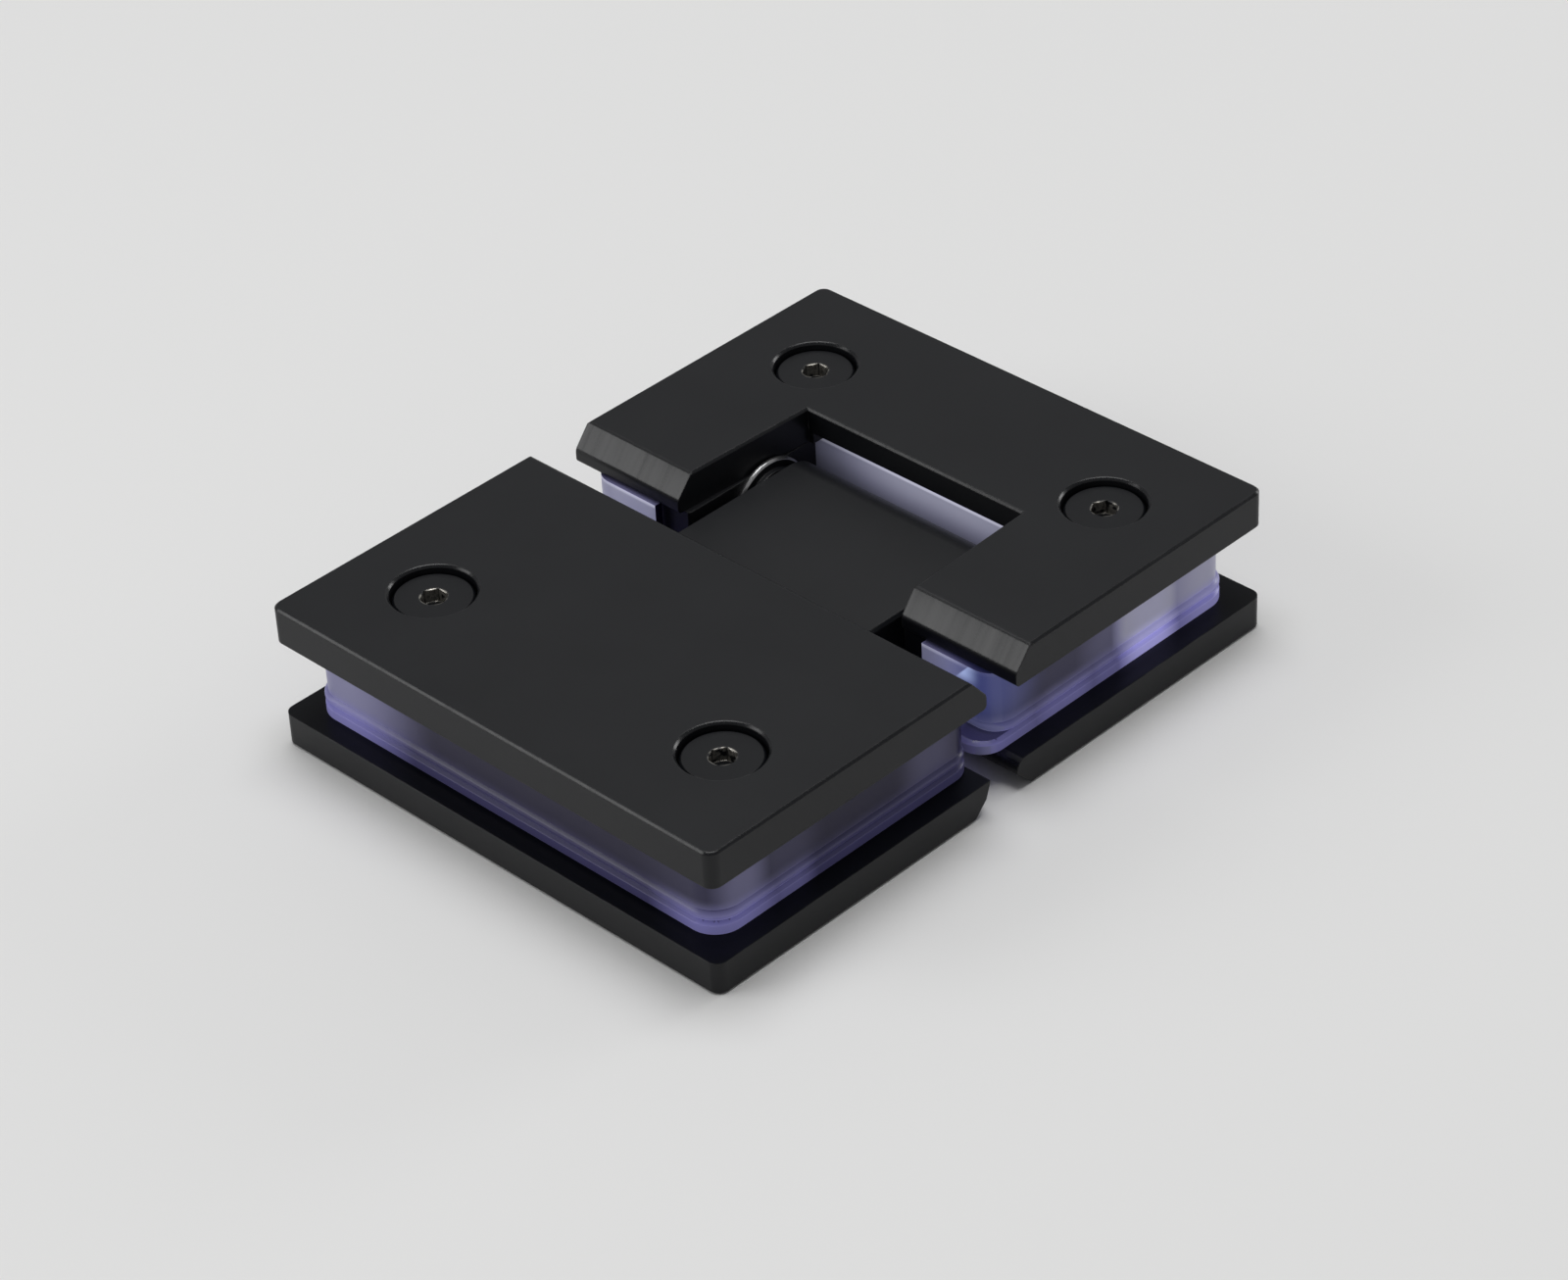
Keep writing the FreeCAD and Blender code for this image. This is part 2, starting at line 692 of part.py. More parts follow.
def make_inner_screw(label, place_x, place_y):
    """Countersunk screw that passes through the block or a lug into a back plate."""
    body = make_body(label, at_x=place_x, at_y=place_y, at_z="front_z - inner_head_sink")
    tip = "blind_wall + tip_clearance - front_z + inner_head_sink"
    profile = [
        ("0", "0"),
        ("inner_head_radius", "0"),
        ("inner_screw_radius", "inner_screw_radius - inner_head_radius"),
        ("inner_screw_radius", tip),
        ("0", tip),
    ]
    turn(body, f"{label}_turned", profile)
    socket = hexagon("0", "0", "inner_socket")
    cut(body, f"{label}_socket", "XY", [socket], "-inner_socket_depth", "inner_socket_depth")
    return body


def make_pin_set_screw():
    """Headless screw that locks the pin in its lug."""
    start = "pivot_offset + pin_radius + running_clearance"
    body = make_body("pin_set_screw", at_x=start, at_y="set_screw_y", at_z="pivot_z")
    length = f"lug_far_x - edge_chamfer - ({start})"
    add(body, "set_screw_round", "YZ", [("0", "0", "set_screw_radius")], "0", length)
    socket = hexagon("0", "0", "set_screw_radius / 2")
    cut(body, "set_screw_socket", "YZ", [socket], f"{length} - inner_socket_depth", "inner_socket_depth")
    return body


def make_group(label, members):
    """Node that holds identical fasteners as separate solids."""
    group = doc.addObject("Part::Compound", label)
    group.Label = label
    group.Links = members
    doc.recompute()
    return group


def pair(label, one):
    """Group of a fastener and its mirror image."""
    other = mirror_copy(f"{one.Name}_image", one)
    return make_group(label, [one, other])


nodes = []
for label, side in (("fixed", -1), ("swing", 1)):
    nodes.append(make_front_plate(f"front_plate_{label}", side))
    nodes.append(make_back_plate(f"back_plate_{label}", side))
    reach = f"gasket_reach_{label}"
    lip = f"{reach} + back_gasket_lip" if side > 0 else reach
    step = "(gasket_inset + gasket_step)"
    stack = (
        ("back", "back_plate_thickness", "back_gasket_thickness", "gasket_inset", lip, True),
        ("middle", "middle_gasket_z", "middle_gasket_thickness", "gasket_inset", reach, True),
        ("front", "front_gasket_z", "(front_z - front_gasket_z)", step, reach, False),
    )
    for layer, base_z, thickness, inset, near_reach, ridged in stack:
        name = f"{layer}_gasket_{label}"
        nodes.append(make_gasket(name, side, base_z, thickness, inset, near_reach, ridged))
    screw = make_clamp_screws(f"clamp_screw_{label}", side)
    nodes.append(pair(f"clamp_screws_{label}", screw))

nodes.append(make_block())
root_screws = [
    make_inner_screw("block_screw_root", "block_screw_inset - block_root_reach", "0"),
    make_inner_screw("block_screw_near", "block_screw_inset + block_screw_spacing - block_root_reach", "0"),
]
nodes.append(make_group("block_screws", root_screws))
bush = make_ring("pin_bush_upper", "half_block - bush_length", "bush_length", "bush_radius")
washer = make_washer()
nodes.append(make_pin())
lug = make_lug()
plunger = make_plunger()
adjuster = make_adjuster()
spring = make_spring()
for piece in (bush, washer, lug, plunger, adjuster, spring):
    nodes.append(piece)
    nodes.append(mirror_copy(piece.Label.replace("_upper", "_lower"), piece))
nodes.append(pair("lug_screws", make_inner_screw("lug_screw", "pivot_offset", "lug_screw_y")))
nodes.append(pair("pin_set_screws", make_pin_set_screw()))

doc.recompute()
for item in doc.Objects:
    if "Invalid" in item.State or "Error" in item.State:
        raise RuntimeError(f"{item.Label} failed: {item.State}")
for node in nodes:
    if node.Shape.isNull() or not node.Shape.isValid():
        raise RuntimeError(f"{node.Label} has no valid shape")
for node in nodes:
    node.Shape.exportStep(f"parts/{node.Label}.step")
    print(node.Label, len(node.Shape.Solids), round(node.Shape.Volume, 1))
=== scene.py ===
"""Dressed model of a matt black hinge for glass doors, laid flat on a pale table."""
import json
import logging
import math
from collections import Counter
from dataclasses import dataclass, field
from enum import Enum

import bmesh
import bpy
from mathutils import Matrix, Vector


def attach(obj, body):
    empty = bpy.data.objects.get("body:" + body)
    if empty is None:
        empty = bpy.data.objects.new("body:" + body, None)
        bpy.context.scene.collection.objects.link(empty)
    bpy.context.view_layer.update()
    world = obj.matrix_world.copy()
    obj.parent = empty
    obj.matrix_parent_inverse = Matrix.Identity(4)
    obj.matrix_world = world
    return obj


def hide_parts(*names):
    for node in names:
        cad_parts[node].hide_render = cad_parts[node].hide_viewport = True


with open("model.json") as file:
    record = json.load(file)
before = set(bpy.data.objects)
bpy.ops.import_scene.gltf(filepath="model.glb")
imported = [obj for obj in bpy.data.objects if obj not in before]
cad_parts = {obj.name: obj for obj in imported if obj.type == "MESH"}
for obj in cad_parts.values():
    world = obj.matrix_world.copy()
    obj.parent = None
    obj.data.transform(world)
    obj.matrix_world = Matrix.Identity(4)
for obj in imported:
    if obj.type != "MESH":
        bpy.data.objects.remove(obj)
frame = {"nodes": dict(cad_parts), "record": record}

log = logging.getLogger("hinge")
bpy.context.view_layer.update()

Colour = tuple[float, float, float]
Point = tuple[float, float, float]
Span = tuple[float, float]
Tree = bpy.types.NodeTree
Node = bpy.types.Node
Socket = bpy.types.NodeSocket
Outputs = bpy.types.NodeOutputs
Term = Socket | float

ZERO_TO_ONE: Span = (0.0, 1.0)
NODE_COLUMN = 220.0
NODE_ROW = 190.0


class Leaf(Enum):
    """The two halves of the hinge, by the body that each belongs to."""

    FIXED = "fixed"
    SWING = "swing"

    @property
    def body(self) -> str:
        """Name of the body that carries this half."""
        return f"{self.value}_leaf"


class Shading(Enum):
    """How the faces of a dressed copy meet, as the largest angle that still looks smooth."""

    ROUNDED = 32.0
    TURNED = 40.0


def link(tree: Tree, source: Socket, target: Socket) -> None:
    """Join an output socket to an input socket."""
    tree.links.new(source, target)


def feed(tree: Tree, term: Term, target: Socket) -> None:
    """Join an output socket to an input socket, or set that input to a number.

    Args:
        tree: Node tree that holds both.
        term: Output socket or number.
        target: Input socket.
    """
    if isinstance(term, Socket):
        link(tree, term, target)
    else:
        target.default_value = term


def add_node(tree: Tree, kind: str, **settings: object) -> Node:
    """Add a node and set its plain properties.

    Args:
        tree: Node tree that gets the node.
        kind: Blender's name of the node type.
        **settings: Properties to set on the node.

    Returns:
        The new node.
    """
    node = tree.nodes.new(kind)
    for name, value in settings.items():
        setattr(node, name, value)
    return node


def lay_out(tree: Tree) -> None:
    """Stand the nodes in columns, by how many links lie between each and the end of the tree.

    Args:
        tree: Node tree to lay out.
    """
    depth = {node.name: 0 for node in tree.nodes}
    for _ in depth:
        for joint in tree.links:
            start, end = joint.from_node.name, joint.to_node.name
            depth[start] = max(depth[start], depth[end] + 1)
    rows = Counter()
    for node in tree.nodes:
        column = depth[node.name]
        node.location = (-NODE_COLUMN * column, -NODE_ROW * rows[column])
        rows[column] += 1


def maths(tree: Tree, operation: str, terms: tuple[Term, ...]) -> Socket:
    """Add a Math node.

    Args:
        tree: Node tree that gets the node.
        operation: Blender's name of the operation.
        terms: Outputs or numbers that it works on, in order.

    Returns:
        Output with the result.
    """
    node = add_node(tree, "ShaderNodeMath", operation=operation)
    for slot, term in enumerate(terms):
        feed(tree, term, node.inputs[slot])
    return node.outputs[0]


def split(tree: Tree, vector: Socket) -> Outputs:
    """Take a vector apart.

    Args:
        tree: Node tree that gets the node.
        vector: Output with the vector.

    Returns:
        Outputs named X, Y and Z.
    """
    node = add_node(tree, "ShaderNodeSeparateXYZ")
    link(tree, vector, node.inputs[0])
    return node.outputs


def scaled(
    tree: Tree, source: Socket, ends: tuple[Term, Term], values: Span, way: str = "LINEAR"
) -> Socket:
    """Number that runs between two values while another runs between two ends.

    Args:
        tree: Node tree that gets the node.
        source: Output that is read.
        ends: What it reads where the first value holds, and where the second does.
        values: First and second value.
        way: Blender's name of the way from one to the other.

    Returns:
        Output with the number.
    """
    node = add_node(tree, "ShaderNodeMapRange", interpolation_type=way)
    for label, term in zip(("From Min", "From Max", "To Min", "To Max"), (*ends, *values)):
        feed(tree, term, node.inputs[label])
    link(tree, source, node.inputs["Value"])
    return node.outputs["Result"]


def fade(tree: Tree, source: Socket, ends: tuple[Term, Term], values: Span) -> Socket:
    """Number that runs smoothly between two values while another runs between two ends."""
    return scaled(tree, source, ends, values, "SMOOTHSTEP")


def spread(tree: Tree, mask: Socket, values: Span) -> Socket:
    """Number between two values, by a mask that goes from 0 to 1."""
    return scaled(tree, mask, ZERO_TO_ONE, values)


def step(tree: Tree, source: Socket, ends: Span) -> Socket:
    """Mask that goes from 0 to 1 while a number runs between two ends."""
    return scaled(tree, source, ends, ZERO_TO_ONE)


def distance(tree: Tree, where: Socket, centre: Point) -> Socket:
    """Measure how far a place is from a centre.

    Args:
        tree: Node tree that gets the node.
        where: Output with the place.
        centre: The centre in metres.

    Returns:
        Output with the distance in metres.
    """
    away = add_node(tree, "ShaderNodeVectorMath", operation="DISTANCE")
    away.inputs[1].default_value = centre
    link(tree, where, away.inputs[0])
    return away.outputs["Value"]


def mix_colours(tree: Tree, mask: Socket, low: Colour | Socket, high: Colour | Socket) -> Socket:
    """Colour between two, by a mask.

    Args:
        tree: Node tree of the material.
        mask: Output that goes from 0 to 1.
        low: Colour where the mask is 0.
        high: Colour where the mask is 1.

    Returns:
        Output with the mixed colour.
    """
    mix = add_node(tree, "ShaderNodeMix", data_type="RGBA")
    for label, colour in (("A", low), ("B", high)):
        feed(tree, colour if isinstance(colour, Socket) else (*colour, 1.0), mix.inputs[label])
    link(tree, mask, mix.inputs["Factor"])
    return mix.outputs["Result"]


def bump(tree: Tree, shader: Node, height: Socket, depth: float, strength: float) -> Node:
    """Give a shader a fine relief.

    Args:
        tree: Node tree of the material.
        shader: Principled node that gets the normal.
        height: Output with the height from 0 to 1.
        depth: Full depth of the relief in metres.
        strength: Share of it that shows.

    Returns:
        The Bump node.
    """
    relief = add_node(tree, "ShaderNodeBump")
    relief.inputs["Distance"].default_value = depth
    relief.inputs["Strength"].default_value = strength
    link(tree, height, relief.inputs["Height"])
    link(tree, relief.outputs["Normal"], shader.inputs["Normal"])
    return relief


def start_material(name: str) -> tuple[bpy.types.Material, Tree, Node]:
    """New material with its Principled shader.

    Args:
        name: Name of the material.

    Returns:
        The material, its node tree and its Principled node.
    """
    material = bpy.data.materials.new(name)
    material.use_nodes = True
    tree = material.node_tree
    return material, tree, tree.nodes["Principled BSDF"]


def new_group(name: str, inputs: dict[str, float], outputs: list[str]) -> tuple[Tree, Node, Node]:
    """Start a shader node group with number inputs and number outputs.

    Args:
        name: Name of the group.
        inputs: Input names with their usual values.
        outputs: Output names.

    Returns:
        The group's tree, its input node and its output node.
    """
    tree = bpy.data.node_groups.new(name, "ShaderNodeTree")
    for label, usual in inputs.items():
        socket = tree.interface.new_socket(label, in_out="INPUT", socket_type="NodeSocketFloat")
        socket.default_value = usual
    for label in outputs:
        tree.interface.new_socket(label, in_out="OUTPUT", socket_type="NodeSocketFloat")
    return tree, add_node(tree, "NodeGroupInput"), add_node(tree, "NodeGroupOutput")


@dataclass(frozen=True)
class SprayedGrain:
    """Fine skin of a sprayed coat: a speckle to tint with and a height to bump with."""

    grains: float = 2600.0
    patches: float = 60.0
    fine_detail: float = 2.0
    fine_roughness: float = 0.55
    broad_detail: float = 4.0
    fine_share: float = 0.35
    broad_share: float = 0.65

    def build(self) -> Tree:
        """Make the node group.

        Returns:
            Group with the outputs Speckle and Height.
        """
        tree, given, result = new_group(
            "sprayed_grain",
            {"Grains per metre": self.grains, "Patches per metre": self.patches},
            ["Speckle", "Height"],
        )
        place = add_node(tree, "ShaderNodeTexCoord")
        fine = add_node(tree, "ShaderNodeTexNoise")
        fine.inputs["Detail"].default_value = self.fine_detail
        fine.inputs["Roughness"].default_value = self.fine_roughness
        broad = add_node(tree, "ShaderNodeTexNoise")
        broad.inputs["Detail"].default_value = self.broad_detail
        for noise, rate in ((fine, "Grains per metre"), (broad, "Patches per metre")):
            link(tree, place.outputs["Object"], noise.inputs["Vector"])
            link(tree, given.outputs[rate], noise.inputs["Scale"])
        patchy = maths(tree, "MULTIPLY", (broad.outputs["Fac"], self.broad_share))
        speckle = maths(tree, "MULTIPLY_ADD", (fine.outputs["Fac"], self.fine_share, patchy))
        link(tree, speckle, result.inputs["Speckle"])
        link(tree, fine.outputs["Fac"], result.inputs["Height"])
        return tree


@dataclass(frozen=True)
class EdgeWearAndHighlight:
    """Mask of the narrow edges: paler on the coat partly from wear and partly as a painted highlight, and
    painted highlight along the gaskets' edges.

    Attributes:
        reach: Width of an edge in metres.
        patches: Worn and whole places per metre.
        samples: Rays that look for an edge.
        turned: Cosines between the face and its rounded edge, where the mask is 0 and 1.
        detail: Fineness of the worn places.
        worn: Noise values where an edge is whole and where it is worn.
    """

    reach: float = 0.0004
    patches: float = 220.0
    samples: int = 4
    turned: Span = (0.995, 0.86)
    detail: float = 5.0
    worn: Span = (0.45, 0.7)

    def build(self) -> Tree:
        """Make the node group.

        Returns:
            Group with the outputs Edge and Worn edge, the second for the coat's edges that are paler partly
            from wear and partly as a painted highlight.
        """
        tree, given, result = new_group(
            "edge_wear_and_highlight", {"Reach": self.reach, "Patches per metre": self.patches}, ["Edge", "Worn and lit edge"]
        )
        surface = add_node(tree, "ShaderNodeNewGeometry")
        rounded = add_node(tree, "ShaderNodeBevel", samples=self.samples)
        link(tree, given.outputs["Reach"], rounded.inputs["Radius"])
        bend = add_node(tree, "ShaderNodeVectorMath", operation="DOT_PRODUCT")
        link(tree, surface.outputs["True Normal"], bend.inputs[0])
        link(tree, rounded.outputs["Normal"], bend.inputs[1])
        edge = step(tree, bend.outputs["Value"], self.turned)
        place = add_node(tree, "ShaderNodeTexCoord")
        noise = add_node(tree, "ShaderNodeTexNoise")
        noise.inputs["Detail"].default_value = self.detail
        link(tree, place.outputs["Object"], noise.inputs["Vector"])
        link(tree, given.outputs["Patches per metre"], noise.inputs["Scale"])
        spots = step(tree, noise.outputs["Fac"], self.worn)
        link(tree, edge, result.inputs["Edge"])
        link(tree, maths(tree, "MULTIPLY", (edge, spots)), result.inputs["Worn and lit edge"])
        return tree


@dataclass(frozen=True)
class CutterStreaks:
    """Fine streaks that a cutter leaves down the slanted hinge edges, and nowhere else.

    Attributes:
        streaks: Streaks per metre along the pivot.
        stretch: Scale of the pattern along each axis, long down the slant.
        detail: Fineness of the streaks.
        slant: How far a slanted edge's normal points up.
        slack: How far it may differ from that.
    """

    streaks: float = 700.0
    stretch: Point = (0.03, 1.0, 0.03)
    detail: float = 3.0
    slant: float = 0.6
    slack: float = 0.12

    def build(self) -> Tree:
        """Make the node group.

        Returns:
            Group with the output Streak, from 0 to 1.
        """
        tree, given, result = new_group("cutter_streaks", {"Streaks per metre": self.streaks}, ["Streak"])
        place = add_node(tree, "ShaderNodeTexCoord")
        drawn = add_node(tree, "ShaderNodeVectorMath", operation="MULTIPLY")
        drawn.inputs[1].default_value = self.stretch
        link(tree, place.outputs["Object"], drawn.inputs[0])
        noise = add_node(tree, "ShaderNodeTexNoise")
        noise.inputs["Detail"].default_value = self.detail
        link(tree, drawn.outputs["Vector"], noise.inputs["Vector"])
        link(tree, given.outputs["Streaks per metre"], noise.inputs["Scale"])
        facing = split(tree, place.outputs["Normal"])
        slanted = maths(tree, "COMPARE", (facing["Z"], self.slant, self.slack))
        streak = maths(tree, "MULTIPLY", (noise.outputs["Fac"], slanted))
        link(tree, streak, result.inputs["Streak"])
        return tree


@dataclass(frozen=True)
class PaintedLightSpot:
    """Painted pool of light on a clear gasket: a soft spot painted paler, standing in for light that gets
    into the vinyl.

    Attributes:
        x: Place across the hinge in metres.
        y: Place along the pivot in metres.
        reach: Distance at which it has faded away.
        low: How much painted light it gives the back gasket.
        high: How much painted light it gives the front gasket.
    """

    x: float
    y: float
    reach: float
    low: float
    high: float


@dataclass(frozen=True)
class PaintedVinylLight:
    """Painted light and shade on a clear gasket: paler in painted pools of light, deep as painted shade
    between them and where it faces up, with painted highlights and emission.

    Attributes:
        spots: The painted pools of light.
        core: Share of a spot's reach that gets its full painted light.
        least: Painted light outside the spots.
        levels: Heights at which the spots' low and high painted light hold.
        wall_levels: Heights at which the notch's inner wall is in painted shade and in painted light.
        wall_least: Share of its painted light that the wall keeps in its painted shade.
        wall_place: Distance of that wall from the hinge's middle.
        wall_depth: How far off that distance a face may be.
        upward: How far up a face points where it keeps all its painted light, and where it is in most
            painted shade.
        upward_least: Share of its painted light that a level face keeps.
        downward: How far down a face points where its painted emission is as on others, and where it is
            strongest.
        downward_gain: How much stronger the painted emission is there.
        pivot_facing: How far towards the pivot a face points to count as an open side.
        inward: Product of place and direction below which a face looks into the notch and is in painted
            shade.
        high_dimming: Share of its painted emission that the front gasket lacks.
        line_levels: Heights at which the painted highlight along the top begins and is full.
        glint_slope: Lean of the painted highlight stripe at the notch's mouth.
        glint_start: Where the stripe begins, from outside it to inside.
        glint_fade: Where it fades along the pivot, from outside it to inside.
        glint_levels: Heights at which it begins and is full.
        blue_centre: Middle of the painted blue light near the notch's mouth.
        blue_reach: Distances at which the blue has faded away and is full.
    """

    spots: tuple[PaintedLightSpot, ...] = (
        PaintedLightSpot(-0.0548, 0.0390, 0.025, 0.60, 0.46),
        PaintedLightSpot(-0.0530, -0.0418, 0.018, 0.50, 0.04),
        PaintedLightSpot(-0.0490, -0.0418, 0.007, 0.40, 0.24),
        PaintedLightSpot(-0.0400, -0.0418, 0.008, 0.28, 0.05),
        PaintedLightSpot(-0.0110, -0.0418, 0.008, 0.00, 0.10),
        PaintedLightSpot(-0.0060, 0.0418, 0.022, 0.60, 0.55),
        PaintedLightSpot(0.0060, -0.0418, 0.013, 0.36, 0.06),
        PaintedLightSpot(0.0170, -0.0418, 0.014, 0.42, 0.05),
        PaintedLightSpot(0.0280, -0.0418, 0.012, 0.36, 0.16),
        PaintedLightSpot(0.0360, -0.0418, 0.010, 1.40, 1.55),
        PaintedLightSpot(0.0530, -0.0418, 0.020, 0.80, 0.95),
        PaintedLightSpot(0.0548, 0.0390, 0.030, 0.90, 0.85),
        PaintedLightSpot(0.0323, -0.0030, 0.036, 1.00, 1.00),
        PaintedLightSpot(0.0025, 0.0320, 0.014, 0.95, 0.92),
        PaintedLightSpot(0.0025, -0.0295, 0.010, 0.58, 0.56),
    )
    core: float = 0.15
    least: float = 0.1
    levels: Span = (0.0080, 0.0115)
    wall_levels: Span = (0.0110, 0.0180)
    wall_least: float = 0.3
    wall_place: float = 0.0323
    wall_depth: float = 0.002
    upward: Span = (0.75, 0.97)
    upward_least: float = 0.2
    downward: Span = (-0.2, -0.75)
    downward_gain: float = 1.8
    pivot_facing: float = -0.5
    inward: float = -0.005
    high_dimming: float = 0.8
    line_levels: Span = (0.0178, 0.0182)
    glint_slope: float = 0.9
    glint_start: Span = (-0.0195, -0.0199)
    glint_fade: Span = (-0.0388, -0.0350)
    glint_levels: Span = (0.0150, 0.0172)
    blue_centre: Point = (0.0025, -0.0385, 0.0165)
    blue_reach: Span = (0.0125, 0.001)

    def lay_spots(self, tree: Tree, where: Socket, least: Socket) -> tuple[Socket, Socket]:
        """Take the strongest painted pool of light at each place.

        Args:
            tree: Node tree of the group.
            where: Output with the place on the gasket.
            least: Output with the painted light outside the spots.

        Returns:
            The painted light of the back gasket and that of the front one.
        """
        flat = add_node(tree, "ShaderNodeVectorMath", operation="MULTIPLY")
        flat.inputs[1].default_value = (1.0, 1.0, 0.0)
        link(tree, where, flat.inputs[0])
        low, high = least, 0.0
        for spot in self.spots:
            away = distance(tree, flat.outputs["Vector"], (spot.x, spot.y, 0.0))
            near = fade(tree, away, (spot.reach, self.core * spot.reach), ZERO_TO_ONE)
            low_here = maths(tree, "MULTIPLY", (near, spot.low))
            high_here = maths(tree, "MULTIPLY", (near, spot.high))
            low = maths(tree, "MAXIMUM", (low_here, low))
            high = maths(tree, "MAXIMUM", (high_here, high))
        return low, high

    def lay_shade(
        self, tree: Tree, given: Outputs, place: Outputs, facing: Outputs, open_side: Socket, up: Socket
    ) -> Socket:
        """Find how much of its painted light each face keeps, with painted shade low on the notch's inner
        wall, on faces that point up and on faces that look into the notch.

        Args:
            tree: Node tree of the group.
            given: The group's inputs.
            place: Outputs with the place on the gasket.
            facing: Outputs with the direction of the face.
            open_side: Mask of the faces towards the pivot.
            up: Share of painted light that a face keeps by how far it points up.

        Returns:
            Output with the share of the painted light that is kept.
        """
        wall_levels = (given["Wall low"], given["Wall high"])
        rise = fade(tree, place["Z"], wall_levels, (self.wall_least, 1.0))
        beyond = maths(tree, "SUBTRACT", (place["X"], given["Wall place"]))
        off_wall = maths(tree, "ABSOLUTE", (beyond, 0.0))
        at_wall = maths(tree, "LESS_THAN", (off_wall, self.wall_depth))
        wall = maths(tree, "MULTIPLY", (open_side, at_wall))
        dark = maths(tree, "SUBTRACT", (1.0, rise))
        lost = maths(tree, "MULTIPLY", (wall, dark))
        left = maths(tree, "SUBTRACT", (1.0, lost))
        kept = maths(tree, "MULTIPLY", (up, left))
        product = maths(tree, "MULTIPLY", (facing["Y"], place["Y"]))
        outside = maths(tree, "GREATER_THAN", (product, self.inward))
        return maths(tree, "MULTIPLY", (kept, outside))

    def lay_painted_glint(self, tree: Tree, place: Outputs) -> Socket:
        """Lay the painted highlight stripe at the notch's mouth.

        Args:
            tree: Node tree of the group.
            place: Outputs with the place on the gasket.

        Returns:
            Mask of the painted highlight stripe.
        """
        leaning = maths(tree, "MULTIPLY_ADD", (place["Z"], self.glint_slope, place["Y"]))
        start = fade(tree, leaning, self.glint_start, ZERO_TO_ONE)
        along = fade(tree, place["Y"], self.glint_fade, ZERO_TO_ONE)
        upper = fade(tree, place["Z"], self.glint_levels, ZERO_TO_ONE)
        stripe = maths(tree, "MULTIPLY", (start, along))
        return maths(tree, "MULTIPLY", (stripe, upper))

    def build(self) -> Tree:
        """Make the node group.

        Returns:
            Group whose outputs, from 0 to 1, are the painted light, the height, the painted emission, the
            open side, the painted top highlight, the painted highlight stripe and the painted blue light.
        """
        tree, given, result = new_group(
            "painted_vinyl_light_masks",
            {
                "Least": self.least,
                "Low": self.levels[0],
                "High": self.levels[1],
                "Wall low": self.wall_levels[0],
                "Wall high": self.wall_levels[1],
                "Wall place": self.wall_place,
            },
            ["Painted light", "Height", "Painted glow", "Open side", "Painted top line", "Painted glint", "Blue"],
        )
        source = add_node(tree, "ShaderNodeTexCoord")
        place = split(tree, source.outputs["Object"])
        facing = split(tree, source.outputs["Normal"])
        # Painted pools of light from the spots, low and high.
        low, high = self.lay_spots(tree, source.outputs["Object"], given.outputs["Least"])
        levels = (given.outputs["Low"], given.outputs["High"])
        height = fade(tree, place["Z"], levels, ZERO_TO_ONE)
        blend = add_node(tree, "ShaderNodeMix", data_type="FLOAT")
        for label, socket in (("Factor", height), ("A", low), ("B", high)):
            link(tree, socket, blend.inputs[label])

        to_pivot = maths(tree, "LESS_THAN", (facing["X"], self.pivot_facing))
        swinging = maths(tree, "GREATER_THAN", (place["X"], 0.0))
        open_side = maths(tree, "MULTIPLY", (to_pivot, swinging))
        # Painted shade on faces that point up.
        up = fade(tree, facing["Z"], self.upward, (1.0, self.upward_least))
        kept = self.lay_shade(tree, given.outputs, place, facing, open_side, up)
        painted_light = maths(tree, "MULTIPLY", (blend.outputs["Result"], kept))

        # Painted emission: weaker high up except on the open side, stronger on faces that point down.
        dimmed = maths(tree, "MULTIPLY", (height, self.high_dimming))
        undimmed = maths(tree, "SUBTRACT", (1.0, dimmed))
        brighter = maths(tree, "MAXIMUM", (undimmed, open_side))
        down = fade(tree, facing["Z"], self.downward, (1.0, self.downward_gain))
        lit = maths(tree, "MULTIPLY", (brighter, down))

        # Painted highlight along the top of the open side.
        line = fade(tree, place["Z"], self.line_levels, ZERO_TO_ONE)
        painted_top_line = maths(tree, "MULTIPLY", (line, painted_light))
        # Painted blue light near the notch's mouth, less on faces that point up.
        corner = distance(tree, source.outputs["Object"], self.blue_centre)
        blue = fade(tree, corner, self.blue_reach, ZERO_TO_ONE)
        blue_side = maths(tree, "MULTIPLY", (blue, swinging))
        outcome = {
            "Painted light": painted_light,
            "Height": height,
            "Painted glow": maths(tree, "MULTIPLY", (painted_light, lit)),
            "Open side": open_side,
            "Painted top line": maths(tree, "MULTIPLY", (painted_top_line, open_side)),
            "Painted glint": maths(tree, "MULTIPLY", (self.lay_painted_glint(tree, place), open_side)),
            "Blue": maths(tree, "MULTIPLY", (blue_side, up)),
        }
        for label, socket in outcome.items():
            link(tree, socket, result.inputs[label])
        return tree


